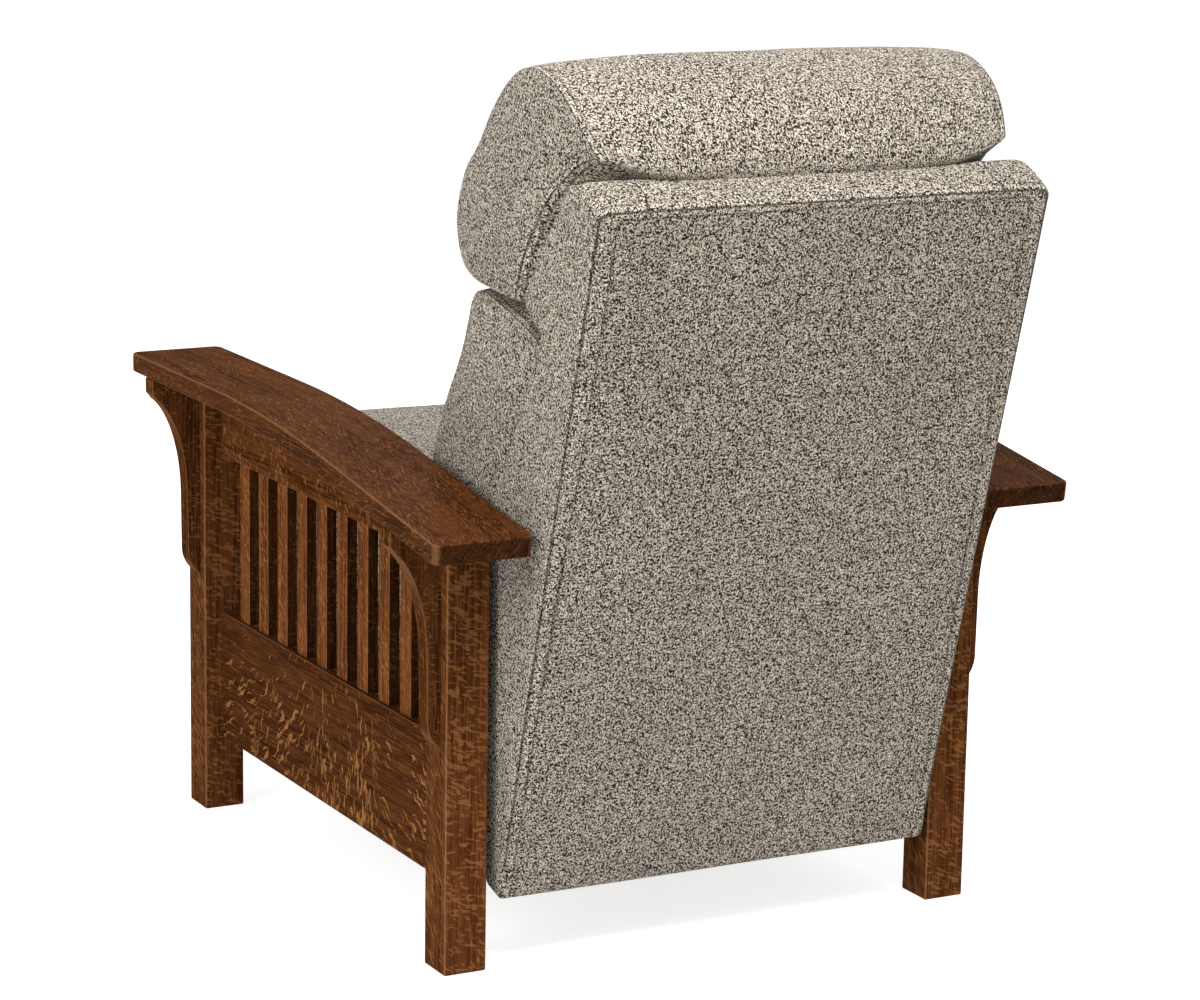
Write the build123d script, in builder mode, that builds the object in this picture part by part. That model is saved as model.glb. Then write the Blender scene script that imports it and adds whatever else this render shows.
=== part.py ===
from build123d import *
from math import atan2, cos, degrees, radians, sin, tan
import os

# Mission reclining armchair: oak side frames with slats, and a push-back reclining seat between them.
# Millimetres, +Z up. The sitter faces -Y and the sitter's left is +X.
# The origin is on the floor, under the middle of the chair's own box.
# Side views are drawn with y counted from the middle of the side frames, which side_plane() places.

# Oak side frames
post = 55.0
post_outer_x = 363.0
side_depth = 795.0
post_ease = 2.5
bottom_rail_low = 97.0
bottom_rail_tall = 173.0
top_rail_drop = 130.0
rail_thick = 25.0
rail_inset = 26.0
rail_ease = 1.5
tenon_length = 22.0
tenon_thick = 10.0
tenon_shoulder = 10.0
slat_count = 10
slat_width = 30.5
slat_thick = 14.0
slat_tenon_length = 14.0
slat_tenon_shoulder = 3.0

# Arms, level in front and sloping down behind a long bend
arm_top_z = 613.5
arm_thick = 25.0
arm_width = 126.5
arm_front_overhang = 38.9
arm_rear_overhang = 103.9
arm_level = 286.4
arm_bend_run = 350.0
arm_slope = 7.8
arm_corner = 12.0
arm_edge_round = 3.0
arm_back_room = 7.5
post_tenon = 30.0
post_tenon_rise = 13.0

# Corbels under the arms, on the posts' outer faces
corbel_thick = 25.0
corbel_tall = 266.0
corbel_ease = 1.5

# Stretchers between the side frames
stretcher_thick = 25.0
stretcher_tall = 50.0
stretcher_front_faces = (-250.0, 80.0)
stretcher_room = 6.0
angle_leg = 40.0
angle_tall = 40.0

# Steel mechanism: layers of plate, counted inwards from the bottom rail's inner face
plate_thick = 3.0
layer_gap = 1.5
pin_r = 3.5
pin_gap = 0.05
open_pin_gap = 0.1
pin_head_r = 6.0
pin_head_thick = 1.1
pin_head_gap = 0.1
link_width = 16.0
screw_r = 2.2
screw_length = 20.0
screw_head_r = 4.5
screw_head_thick = 2.5
screw_gap = 0.1
bolt_r = 4.0
bolt_head_r = 7.0
bolt_head_thick = 5.0

# Carriers: two pairs of equal links that carry the seat and swing it forward
carrier_length = 90.0
carrier_lean = 25.0
carrier_foot_drop = 90.0
carrier_foot_ys = (-150.0, 150.0)
carrier_width = 20.0
base_plate_drop = 65.0
base_plate_tall = 49.0
base_plate_reach = 192.0
base_screw_drop = 35.0
base_screw_reach = 179.0

# Footrest linkage: crossed links that open like lazy tongs
footrest_link_length = 185.0
footrest_link_rest = 84.0
footrest_link_open = 10.0
footrest_pivot_setback = 61.0
footrest_pivot_rise = 30.0
board_gap = 10.0
board_thick = 18.0
board_tall = 210.0
board_rise = 60.0
board_side_room = 7.0
pad_side_overhang = 8.0
pad_thick = 35.0
pad_overhang = 5.0
bracket_flange = 36.0

# Seat frame, level with the bottom rails' top edges
seat_front_y = -366.0
seat_depth = 616.0
seat_board = 22.0
seat_board_tall = 75.0
seat_bolt_rise = 22.0
seat_bolt_front = 141.0
seat_bolt_rear = 45.0
seat_plate_drop = 22.0
seat_plate_rise = 45.0
seat_plate_leg = 30.0
spacer_r = 9.0
spacer_length = 15.4
border_thick = 4.0
deck_thick = 4.0
cushion_side_overhang = 10.0
cushion_nose = 47.0
cushion_tail = 35.0
cushion_tall = 164.0

# Back, in its own plane: u runs up its rear face and v forward from it
back_lean = 14.8
back_pivot_setback = 80.0
back_pivot_rise = 60.0
back_foot_setback = 72.3
back_foot_drop = 242.7
back_tall = 873.0
back_side_gap = 0.5
back_skin = 5.0
back_board = 19.0
back_crown = 14.0
back_top_deep = 58.0
back_foot_deep = 34.0
back_belly_deep = 165.0
back_pin_r = 6.0
back_boss_r = 18.0
back_bracket_rise = 110.0
back_bracket_width = 30.0
back_rail_tall = 45.0
back_rail_deep = 30.0
back_rail_v = 18.0
back_rail_foot = 12.0
back_rail_under = 37.0
back_rail_top_drop = 63.0

# Cushions of the back
lumbar_side_inset = 5.0
lumbar_sink = 81.1
lumbar_rear_v = 110.0
lumbar_deep = 232.0
pillow_side_overhang = 7.0
pillow_drop = 200.0
pillow_tall = 295.0
pillow_rear_v = 62.0
pillow_deep = 282.0
pillow_gap = 1.0
inside_notch = 12.0

# Springs of zigzag wire, and their clips
wire_r = 1.8
zigzag_half = 25.0
zigzag_r = 12.5
spring_pairs = 2
clip_length = 18.0
clip_width = 14.0
clip_tall = 7.0
clip_inset = 11.0

# Clearances
fit_gap = 0.2
soft_gap = 0.3
overrun = 60.0

# Worked out from the sizes above: side frames and arms
slope = radians(arm_slope)
lean = radians(back_lean)
post_inner_x = post_outer_x - post
post_mid_x = post_outer_x - post / 2
post_mid_y = side_depth / 2 - post / 2
rail_reach = side_depth / 2 - post
rail_outer_x = post_outer_x - rail_inset
rail_inner_x = rail_outer_x - rail_thick
rail_mid_x = rail_outer_x - rail_thick / 2
bottom_rail_high = bottom_rail_low + bottom_rail_tall
top_rail_low = arm_top_z - top_rail_drop
slat_pitch = 2 * rail_reach / (slat_count + 1)
arm_front_reach = side_depth / 2 + arm_front_overhang
arm_rear_reach = side_depth / 2 + arm_rear_overhang
arm_bend_y = arm_level - arm_front_reach
arm_bend_radius = arm_bend_run / sin(slope)
arm_bend_end_y = arm_bend_y + arm_bend_run
arm_tail = (arm_rear_reach - arm_bend_end_y) / cos(slope)

# Layers of plate, and the widths that they leave
layer = plate_thick + layer_gap
base_x = rail_inner_x - plate_thick
carrier_x = base_x - layer
seat_plate_x = carrier_x - layer
near_link_x = seat_plate_x - layer
near_outer_x = near_link_x + plate_thick
far_link_x = near_link_x - layer
spacer_x = seat_plate_x - spacer_length
border_x = spacer_x - soft_gap - border_thick
seat_half = border_x - soft_gap
seat_inner_x = seat_half - seat_board
cushion_half = seat_half + cushion_side_overhang
board_half = far_link_x - board_side_room
pad_half = board_half + pad_side_overhang
back_half = near_link_x - back_side_gap
back_board_x = back_half - back_skin - soft_gap - back_board
lumbar_half = back_half - lumbar_side_inset
pillow_half = back_half + pillow_side_overhang
inside_half = back_board_x - soft_gap
arm_inner_x = back_half + arm_back_room
arm_outer_x = arm_inner_x + arm_width
corbel_reach = arm_outer_x - post_outer_x

# Heights and depths of the seat, mechanism and back
seat_low = bottom_rail_high
seat_high = seat_low + seat_board_tall
seat_rear_y = seat_front_y + seat_depth
base_plate_high = bottom_rail_high - base_plate_drop
base_plate_low = base_plate_high - base_plate_tall
stretcher_low = base_plate_low - stretcher_room - stretcher_tall
carrier_foot_z = bottom_rail_high - carrier_foot_drop
footrest_pivot_y = seat_front_y + footrest_pivot_setback
footrest_pivot_z = seat_low + footrest_pivot_rise
board_rear_y = seat_front_y - board_gap
board_high = seat_low + board_rise
board_low = board_high - board_tall
seat_bolt_z = seat_low + seat_bolt_rise
seat_bolt_first_y = seat_front_y + seat_bolt_front
seat_bolt_last_y = seat_rear_y - seat_bolt_rear
seat_bolt_ys = (seat_bolt_first_y, (seat_bolt_first_y + seat_bolt_last_y) / 2, seat_bolt_last_y)
seat_plate_low = seat_low - seat_plate_drop
seat_plate_high = seat_low + seat_plate_rise
deck_low = seat_high + clip_tall + fit_gap
cushion_low = deck_low + deck_thick + soft_gap
cushion_front_y = seat_front_y - cushion_nose
cushion_rear_y = seat_rear_y + cushion_tail
back_pivot_y = seat_rear_y + back_pivot_setback
back_pivot_z = seat_low + back_pivot_rise
back_foot_y = back_pivot_y + back_foot_setback
back_foot_z = back_pivot_z - back_foot_drop
back_rear_reach = back_foot_y + back_tall * sin(lean)
side_mid_y = (arm_front_reach - back_rear_reach) / 2
pillow_low_u = back_tall - pillow_drop
lumbar_low_u = (cushion_low + cushion_tall - back_foot_z) / cos(lean) - lumbar_sink
lumbar_tall = pillow_low_u - pillow_gap - lumbar_low_u
back_rail_us = (back_rail_foot, lumbar_low_u - back_rail_under, back_tall - back_rail_top_drop)
inside_rear_v = back_rail_v + back_rail_deep + clip_tall + soft_gap
spring_count = 2 * spring_pairs
spring_xs = [(index + 1 / 2) * 2 * seat_inner_x / spring_count for index in range(spring_pairs)]


def side_plane(x):
    """Side view: local x is the chair's y from the side frames' middle, local y is up."""
    return Plane(origin=(x, side_mid_y, 0), x_dir=(0, 1, 0), z_dir=(1, 0, 0))


def front_plane(y):
    """Front view, at y from the side frames' middle: local x is the chair's x, local y is up."""
    return Plane(origin=(0, side_mid_y + y, 0), x_dir=(1, 0, 0), z_dir=(0, -1, 0))


def back_plane(x):
    """Side view of the back: local x is v, forward from its rear face, and local y is u, up it."""
    foot = (x, side_mid_y + back_foot_y, back_foot_z)
    return Plane(origin=foot, x_dir=(0, -cos(lean), sin(lean)), z_dir=(-1, 0, 0))


def block(low, high, mode=Mode.ADD):
    """A rectangular block between two corners (x, y from the side frames' middle, z)."""
    middle = [(a + b) / 2 for a, b in zip(low, high)]
    with Locations((middle[0], side_mid_y + middle[1], middle[2])):
        return Box(*[b - a for a, b in zip(low, high)], mode=mode)


def back_block(half, low, high):
    """A board across the back between two corners (v, u)."""
    with BuildPart() as board:
        with BuildSketch(back_plane(-half)):
            with Locations(((low[0] + high[0]) / 2, (low[1] + high[1]) / 2)):
                Rectangle(high[0] - low[0], high[1] - low[1])
        extrude(amount=-2 * half)
    return board.part


def rounds(plane, places, radius, length):
    """Round bars, square to a plane at the given places."""
    with BuildPart() as bars:
        with BuildSketch(plane):
            with Locations(*places):
                Circle(radius)
        extrude(amount=length)
    return bars.part


def pins(places, inner_x, outer_x, radius=pin_r, head_r=pin_head_r, inner_head=True, outer_head=True):
    """Pins along X through plates from inner_x to outer_x, with flat heads just clear of them."""
    start = inner_x - pin_head_gap * inner_head
    end = outer_x + pin_head_gap * outer_head
    with BuildPart() as made:
        add(rounds(side_plane(start), places, radius, end - start))
        if inner_head:
            add(rounds(side_plane(start), places, head_r, -pin_head_thick))
        if outer_head:
            add(rounds(side_plane(end), places, head_r, pin_head_thick))
    return made.part


def screws(plane, places, length=screw_length):
    """Round-headed screws driven along a plane's normal, with their heads just clear of it."""
    with BuildPart() as made:
        head_face = plane.offset(-screw_gap)
        add(rounds(head_face, places, screw_r, length))
        add(rounds(head_face, places, screw_head_r, -screw_head_thick))
    return made.part


def screw_holes(plane, places, length=screw_length):
    """The clearance holes of such screws."""
    return rounds(plane, places, screw_r + screw_gap, length)


def link(inner_x, start, end, bores, wide=link_width, thick=plate_thick):
    """A flat steel link with round ends, bored for its pins: bores are (place, radius)."""
    run = Vector(*end) - Vector(*start)
    middle = Vector(*start) + run / 2
    with BuildPart() as made:
        with BuildSketch(side_plane(inner_x)):
            with Locations((middle.X, middle.Y)):
                SlotCenterToCenter(run.length, wide, rotation=degrees(atan2(run.Y, run.X)))
            for place, radius in bores:
                with Locations(place):
                    Circle(radius, mode=Mode.SUBTRACT)
        extrude(amount=thick)
    return made.part


def soft_body(plane_at, half_width, corner, size, outline_shares, section_shares, still_share):
    """A stuffed piece: arcs go round its outline, and a flat seat closes it. Each section across it
    swells by a share of the shorter side: along both sides alike about the seat's middle, or, where
    still_share is 0, by one scale about the seat's start, which keeps a slanting seat in its plane."""
    ring = [Vector(corner[0] + size[0] * a, corner[1] + size[1] * b) for a, b in outline_shares]
    still = ring[0] + (ring[-1] - ring[0]) * still_share
    spread = size if still_share else (min(size), min(size))
    with BuildPart() as made:
        for width_share, swell_share in section_shares:
            swell = swell_share * min(size)
            grow = (1 + swell / spread[0], 1 + swell / spread[1])
            turn = [
                still + Vector((point.X - still.X) * grow[0], (point.Y - still.Y) * grow[1])
                for point in ring
            ]
            with BuildSketch(plane_at(half_width * width_share)):
                with BuildLine():
                    for first in range(0, len(turn) - 1, 2):
                        ThreePointArc(*turn[first : first + 3])
                    Line(turn[-1], turn[0])
                make_face()
        loft(ruled=True)
    return made.part


def zigzag_spring(plane, length):
    """A zigzag wire spring along a plane's local x, with straight ends."""
    loops = int((length - 4 * zigzag_r) / (2 * zigzag_r)) // 2 * 2
    stub = (length - 2 * zigzag_r * (loops + 1)) / 2
    across = 2 * (zigzag_half - zigzag_r)
    with BuildPart() as made:
        with BuildLine(plane) as path:
            bend = Line((0, 0), (stub, 0))
            bend = JernArc(bend @ 1, bend % 1, zigzag_r, 90)
            bend = PolarLine(bend @ 1, across / 2, direction=bend % 1)
            for loop in range(loops):
                bend = JernArc(bend @ 1, bend % 1, zigzag_r, -180 if loop % 2 == 0 else 180)
                last_loop = loop == loops - 1
                bend = PolarLine(bend @ 1, across / 2 if last_loop else across, direction=bend % 1)
            bend = JernArc(bend @ 1, bend % 1, zigzag_r, -90)
            PolarLine(bend @ 1, stub, direction=bend % 1)
        with BuildSketch(Plane(origin=path.line @ 0, z_dir=path.line % 0)):
            Circle(wire_r)
        sweep(path=path.line)
    return made.part


# Arm outline and the room above its underside
def arm_edge(depth):
    """The arm's line at a depth below its top: level, a long bend, then a straight slope."""
    level = Line((-arm_front_reach, arm_top_z - depth), (arm_bend_y, arm_top_z - depth))
    bend = JernArc(level @ 1, level % 1, arm_bend_radius - depth, -arm_slope)
    tail = PolarLine(bend @ 1, arm_tail, direction=bend % 1)
    return level @ 0, tail @ 1


def arm_underside(y):
    """Height of the arm's underside on its straight slope or its level stretch."""
    if y <= arm_bend_y:
        return arm_top_z - arm_thick
    bend_drop = arm_bend_radius * (1 - cos(slope))
    return arm_top_z - bend_drop - (y - arm_bend_end_y) * tan(slope) - arm_thick / cos(slope)


with BuildPart() as arm_space:
    with BuildSketch(side_plane(0)):
        with BuildLine():
            under_front, under_rear = arm_edge(arm_thick + fit_gap)
            clear_z = arm_top_z + overrun
            Polyline(under_front, (-arm_front_reach, clear_z), (arm_rear_reach, clear_z), under_rear)
        make_face()
    extrude(amount=arm_outer_x + overrun)

pieces = {}


def keep(name, piece):
    """Keeps a finished piece under its name."""
    pieces[name] = piece


def keep_pair(name, left):
    """Keeps a left piece, and its mirror image as the right one."""
    with BuildPart() as right:
        mirror(left, about=Plane.YZ)
    keep("left_" + name, left)
    keep("right_" + name, right.part)


def both_sides(left):
    """A left piece and its mirror image as one group."""
    with BuildPart() as pair:
        add(left)
        mirror(left, about=Plane.YZ)
    return pair.part


# Posts, each with mortises for its rails and a tenon into the arm
def rail_tenons(end, gap):
    """Tenon spaces at one end of the rails: end is -1 in front and 1 behind."""
    half = tenon_thick / 2 + gap
    near, far = end * rail_reach, end * (rail_reach + tenon_length + gap)
    for low, high in ((bottom_rail_low, bottom_rail_high), (top_rail_low, arm_underside(rail_reach))):
        low_z = low + tenon_shoulder - gap
        high_z = high - tenon_shoulder + gap
        yield (rail_mid_x - half, min(near, far), low_z), (rail_mid_x + half, max(near, far), high_z)


def post_tenon_space(end, gap):
    """Space of a post's tenon in the arm."""
    middle_y, half = end * post_mid_y, post_tenon / 2 + gap
    base = min(arm_underside(middle_y - half), arm_underside(middle_y + half)) - tenon_shoulder
    high = arm_underside(middle_y) + post_tenon_rise + gap
    return (post_mid_x - half, middle_y - half, base), (post_mid_x + half, middle_y + half, high)


for name, end in (("front_post", -1), ("rear_post", 1)):
    with BuildPart() as oak_post:
        middle_y = end * post_mid_y
        block((post_inner_x, middle_y - post / 2, 0), (post_outer_x, middle_y + post / 2, arm_top_z))
        fillet(oak_post.edges().filter_by(Axis.Z), radius=post_ease)
        chamfer(oak_post.faces().sort_by(Axis.Z)[0].edges(), length=post_ease / 2)
        add(arm_space.part, mode=Mode.SUBTRACT)
        block(*post_tenon_space(end, 0))
        for low, high in rail_tenons(end, fit_gap):
            block(low, high, mode=Mode.SUBTRACT)
    keep_pair(name, oak_post.part)

# Rails, tenoned into the posts and mortised for the slats
base_screw_z = base_plate_high - base_screw_drop
base_screws = [(y, base_screw_z) for y in (-base_screw_reach, 0, base_screw_reach)]
angle_screw_out = angle_leg * 2 / 3
angle_mid_z = stretcher_low + stretcher_tall / 2
angle_screws = [
    (face + stretcher_thick + angle_screw_out, angle_mid_z) for face in stretcher_front_faces
]


def slat_tenons(rail_face, upwards, gap):
    """Tenon spaces of the slats in one rail, from its face."""
    long = slat_tenon_length + gap
    wide = slat_width - 2 * slat_tenon_shoulder + 2 * gap
    thick = slat_thick - 2 * slat_tenon_shoulder + 2 * gap
    with BuildPart() as spaces:
        with Locations((rail_mid_x, side_mid_y, rail_face + upwards * long / 2)):
            with GridLocations(slat_pitch, slat_pitch, 1, slat_count):
                Box(thick, wide, long)
    return spaces.part


with BuildPart() as bottom_rail:
    block((rail_inner_x, -rail_reach, bottom_rail_low), (rail_outer_x, rail_reach, bottom_rail_high))
    fillet(bottom_rail.edges().filter_by(Axis.Y), radius=rail_ease)
    for end in (-1, 1):
        block(*list(rail_tenons(end, 0))[0])
    add(slat_tenons(bottom_rail_high, -1, fit_gap), mode=Mode.SUBTRACT)
    add(screw_holes(side_plane(base_x), base_screws + angle_screws), mode=Mode.SUBTRACT)
keep_pair("bottom_rail", bottom_rail.part)

with BuildPart() as top_rail:
    block((rail_inner_x, -rail_reach, top_rail_low), (rail_outer_x, rail_reach, arm_top_z))
    fillet(top_rail.edges().filter_by(Axis.Y).group_by(Axis.Z)[0], radius=rail_ease)
    add(arm_space.part, mode=Mode.SUBTRACT)
    for end in (-1, 1):
        block(*list(rail_tenons(end, 0))[1])
    add(slat_tenons(top_rail_low, 1, fit_gap), mode=Mode.SUBTRACT)
keep_pair("top_rail", top_rail.part)

with BuildPart() as slats:
    with Locations((rail_mid_x, side_mid_y, (bottom_rail_high + top_rail_low) / 2)):
        with GridLocations(slat_pitch, slat_pitch, 1, slat_count):
            Box(slat_thick, slat_width, top_rail_low - bottom_rail_high)
    fillet(slats.edges().filter_by(Axis.Z), radius=rail_ease / 2)
    add(slat_tenons(bottom_rail_high, -1, 0))
    add(slat_tenons(top_rail_low, 1, 0))
keep_pair("slats", slats.part)

# Arms, with rounded corners and edges, mortised for the posts
with BuildPart() as arm:
    with BuildSketch(side_plane(arm_inner_x)):
        with BuildLine():
            top_front, top_rear = arm_edge(0)
            low_front, low_rear = arm_edge(arm_thick)
            Line(top_front, low_front)
            Line(top_rear, low_rear)
        make_face()
    extrude(amount=arm_width)
    for end_face in (arm.faces().sort_by(Axis.Y)[0], arm.faces().sort_by(Axis.Y)[-1]):
        fillet(end_face.edges().filter_by(Axis.X, reverse=True), radius=arm_corner)
    side_edges = arm.faces().filter_by(Axis.X).edges()
    fillet(side_edges.filter_by(lambda edge: edge.length > 2 * arm_thick), radius=arm_edge_round)
    for end in (-1, 1):
        block(*post_tenon_space(end, fit_gap), mode=Mode.SUBTRACT)
keep_pair("arm", arm.part)

# Corbels: a plumb lip, a hollow sweep, a straight shank and a rounded foot
corbel_lip_share = 0.07
corbel_sweep_shares = ((0.89, 0.105), (0.55, 0.17), (0.2814, 0.36), (0.27, 0.585))
corbel_shank_shares = (0.255, 0.88)
with BuildPart() as corbels:
    for end in (-1, 1):
        top = arm_underside(end * post_mid_y)
        with BuildSketch(front_plane(end * post_mid_y - corbel_thick / 2)):
            with BuildLine():
                sweep_points = [
                    (post_outer_x + corbel_reach * a, top - corbel_tall * b)
                    for a, b in corbel_sweep_shares
                ]
                shank = (
                    post_outer_x + corbel_reach * corbel_shank_shares[0],
                    top - corbel_tall * corbel_shank_shares[1],
                )
                lip = (arm_outer_x, top - corbel_tall * corbel_lip_share)
                Line((post_outer_x, top + arm_thick), (arm_outer_x, top + arm_thick))
                Line((arm_outer_x, top + arm_thick), lip)
                hollow = Bezier(*sweep_points)
                Line(lip, hollow @ 0)
                straight = Line(hollow @ 1, shank)
                TangentArc(straight @ 1, (post_outer_x, top - corbel_tall), tangent=straight % 1)
                Line((post_outer_x, top - corbel_tall), (post_outer_x, top + arm_thick))
            make_face()
        extrude(amount=-corbel_thick)
    face_edges = corbels.faces().filter_by(Axis.Y).edges()
    outer_edges = face_edges.filter_by(lambda edge: edge.center().X > post_outer_x + corbel_ease)
    chamfer(outer_edges, length=corbel_ease / 2)
    add(arm_space.part, mode=Mode.SUBTRACT)
keep_pair("corbels", corbels.part)

# Stretchers, with an angle bracket at each end
angle_screw_x = rail_inner_x - angle_screw_out
for name, face in zip(("front_stretcher", "rear_stretcher"), stretcher_front_faces):
    with BuildPart() as stretcher:
        rear = face + stretcher_thick
        block((-rail_inner_x, face, stretcher_low), (rail_inner_x, rear, stretcher_low + stretcher_tall))
        fillet(stretcher.edges().filter_by(Axis.X), radius=rail_ease)
        drive = front_plane(rear + plate_thick)
        holes = screw_holes(drive, [(-angle_screw_x, angle_mid_z), (angle_screw_x, angle_mid_z)])
        add(holes, mode=Mode.SUBTRACT)
    keep(name, stretcher.part)

with BuildPart() as angle_brackets:
    low_z = angle_mid_z - angle_tall / 2
    for face in stretcher_front_faces:
        rear = face + stretcher_thick
        leg_x = rail_inner_x - angle_leg
        block((leg_x, rear, low_z), (rail_inner_x, rear + plate_thick, low_z + angle_tall))
        block((base_x, rear, low_z), (rail_inner_x, rear + angle_leg, low_z + angle_tall))
        drive = front_plane(rear + plate_thick)
        add(screw_holes(drive, [(angle_screw_x, angle_mid_z)]), mode=Mode.SUBTRACT)
    add(screw_holes(side_plane(base_x), angle_screws), mode=Mode.SUBTRACT)
keep("stretcher_brackets", both_sides(angle_brackets.part))

# Base plates on the bottom rails, with the pins that the carriers turn on
carrier_feet = [(y, carrier_foot_z) for y in carrier_foot_ys]
carrier_angle = radians(carrier_lean)
carrier_run = (carrier_length * sin(carrier_angle), carrier_length * cos(carrier_angle))
carrier_tops = [(y + carrier_run[0], z + carrier_run[1]) for y, z in carrier_feet]

with BuildPart() as base_plate:
    block((base_x, -base_plate_reach, base_plate_low), (rail_inner_x, base_plate_reach, base_plate_high))
    fillet(base_plate.edges().filter_by(Axis.X), radius=link_width / 2)
    add(screw_holes(side_plane(base_x), base_screws), mode=Mode.SUBTRACT)
    holes = rounds(side_plane(base_x), carrier_feet, pin_r + pin_gap, plate_thick)
    add(holes, mode=Mode.SUBTRACT)
keep("base_plates", both_sides(base_plate.part))

with BuildPart() as frame_screws:
    add(screws(side_plane(base_x), base_screws + angle_screws))
    for face in stretcher_front_faces:
        add(screws(front_plane(face + stretcher_thick + plate_thick), [(angle_screw_x, angle_mid_z)]))
keep("frame_screws", both_sides(frame_screws.part))

foot_pins = pins(carrier_feet, carrier_x, rail_inner_x - pin_head_gap, outer_head=False)
keep("carrier_foot_pins", both_sides(foot_pins))

for name, foot, top in zip(("front_carriers", "rear_carriers"), carrier_feet, carrier_tops):
    bores = ((foot, pin_r + pin_gap), (top, pin_r + pin_gap))
    keep(name, both_sides(link(carrier_x, foot, top, bores, wide=carrier_width)))

# Footrest linkage at rest: the drive link and the bracket lean forward, the other two lean back
rest_angle = radians(footrest_link_rest)
open_angle = radians(footrest_link_open)
rest_run = (footrest_link_length * cos(rest_angle), footrest_link_length * sin(rest_angle))
seat_pivot = (footrest_pivot_y, footrest_pivot_z)
slide_place = (footrest_pivot_y, footrest_pivot_z - rest_run[1])
slide_high = footrest_pivot_z - footrest_link_length * sin(open_angle)
low_joint = (footrest_pivot_y - rest_run[0], footrest_pivot_z - rest_run[1])
high_joint = (footrest_pivot_y - rest_run[0], footrest_pivot_z)
near_cross = (footrest_pivot_y - rest_run[0] / 2, footrest_pivot_z - rest_run[1] / 2)
far_cross = (footrest_pivot_y - rest_run[0] * 3 / 2, footrest_pivot_z - rest_run[1] / 2)
bore = pin_r + pin_gap
open_bore = pin_r + open_pin_gap

drive_bores = ((seat_pivot, bore), (near_cross, bore), (low_joint, bore))
keep("drive_links", both_sides(link(near_link_x, seat_pivot, low_joint, drive_bores)))
cross_bores = ((slide_place, bore), (near_cross, bore), (high_joint, bore))
keep("cross_links", both_sides(link(far_link_x, slide_place, high_joint, cross_bores)))
lift_bores = ((low_joint, bore), (far_cross, bore))
keep("lift_links", both_sides(link(far_link_x, low_joint, far_cross, lift_bores)))

keep("drive_link_pins", both_sides(pins([near_cross, low_joint], far_link_x, near_outer_x)))
with BuildPart() as cross_pins:
    add(pins([high_joint], far_link_x, near_outer_x))
    add(pins([slide_place], far_link_x, seat_plate_x + plate_thick))
keep("cross_link_pins", both_sides(cross_pins.part))
keep("lift_link_pins", both_sides(pins([far_cross], far_link_x, near_outer_x)))

# Footrest: brackets, board and pad
flange_high = footrest_pivot_z + link_width / 2
flange_low = far_cross[1] - link_width / 2 - pin_r
flange_front = board_rear_y
flange_rear = board_rear_y + plate_thick
flange_inner = board_half - bracket_flange + link_width / 2
board_screw_x = board_half - bracket_flange / 2 + link_width / 4
board_screws = [(board_screw_x, flange_low + link_width), (board_screw_x, flange_high - link_width)]
with BuildPart() as footrest_bracket:
    with BuildSketch(side_plane(near_link_x)):
        with BuildLine():
            rear_top = (high_joint[0] + link_width / 2, flange_high)
            rear_low = (far_cross[0] + link_width / 2, flange_low)
            Polyline(
                (flange_front, flange_high),
                rear_top,
                rear_low,
                (flange_front, flange_low),
                close=True,
            )
        make_face()
        with Locations(high_joint):
            Circle(open_bore, mode=Mode.SUBTRACT)
        with Locations(far_cross):
            Circle(bore, mode=Mode.SUBTRACT)
    extrude(amount=plate_thick)
    block((flange_inner, flange_front, flange_low), (near_outer_x, flange_rear, flange_high))
    add(screw_holes(front_plane(flange_rear), board_screws), mode=Mode.SUBTRACT)
    rear_edges = footrest_bracket.edges().filter_by(Axis.X).group_by(Axis.Y)
    fillet(rear_edges[-1] + rear_edges[-2], radius=link_width / 3)
keep("footrest_brackets", both_sides(footrest_bracket.part))

board_screw_pairs = board_screws + [(-x, z) for x, z in board_screws]
board_screw_length = plate_thick + board_thick * 2 / 3
board_drive = front_plane(flange_rear)
with BuildPart() as footrest_board:
    block((-board_half, board_rear_y - board_thick, board_low), (board_half, board_rear_y, board_high))
    fillet(footrest_board.edges().filter_by(Axis.Y), radius=board_thick / 2)
    add(screw_holes(board_drive, board_screw_pairs, board_screw_length), mode=Mode.SUBTRACT)
keep("footrest_board", footrest_board.part)

keep("footrest_screws", screws(board_drive, board_screw_pairs, board_screw_length))

pad_outline_shares = (
    (1.0, 0.02), (0.8, 0.0), (0.45, 0.01), (0.12, 0.06), (0.04, 0.2), (0.0, 0.5), (0.04, 0.8),
    (0.12, 0.94), (0.45, 0.99), (0.8, 1.0), (1.0, 0.98),
)
pad_section_shares = (
    (-1.0, -0.5), (-0.985, -0.2), (-0.95, -0.06), (-0.85, 0.0),
    (0.85, 0.0), (0.95, -0.06), (0.985, -0.2), (1.0, -0.5),
)
pad_low = board_low - pad_overhang
pad_size = (pad_thick, board_high + pad_overhang - pad_low)
pad_corner = (board_rear_y - board_thick - soft_gap - pad_thick, pad_low)
footrest_pad = soft_body(
    side_plane, pad_half, pad_corner, pad_size, pad_outline_shares, pad_section_shares, 1 / 2
)
keep("footrest_pad", footrest_pad)

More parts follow.
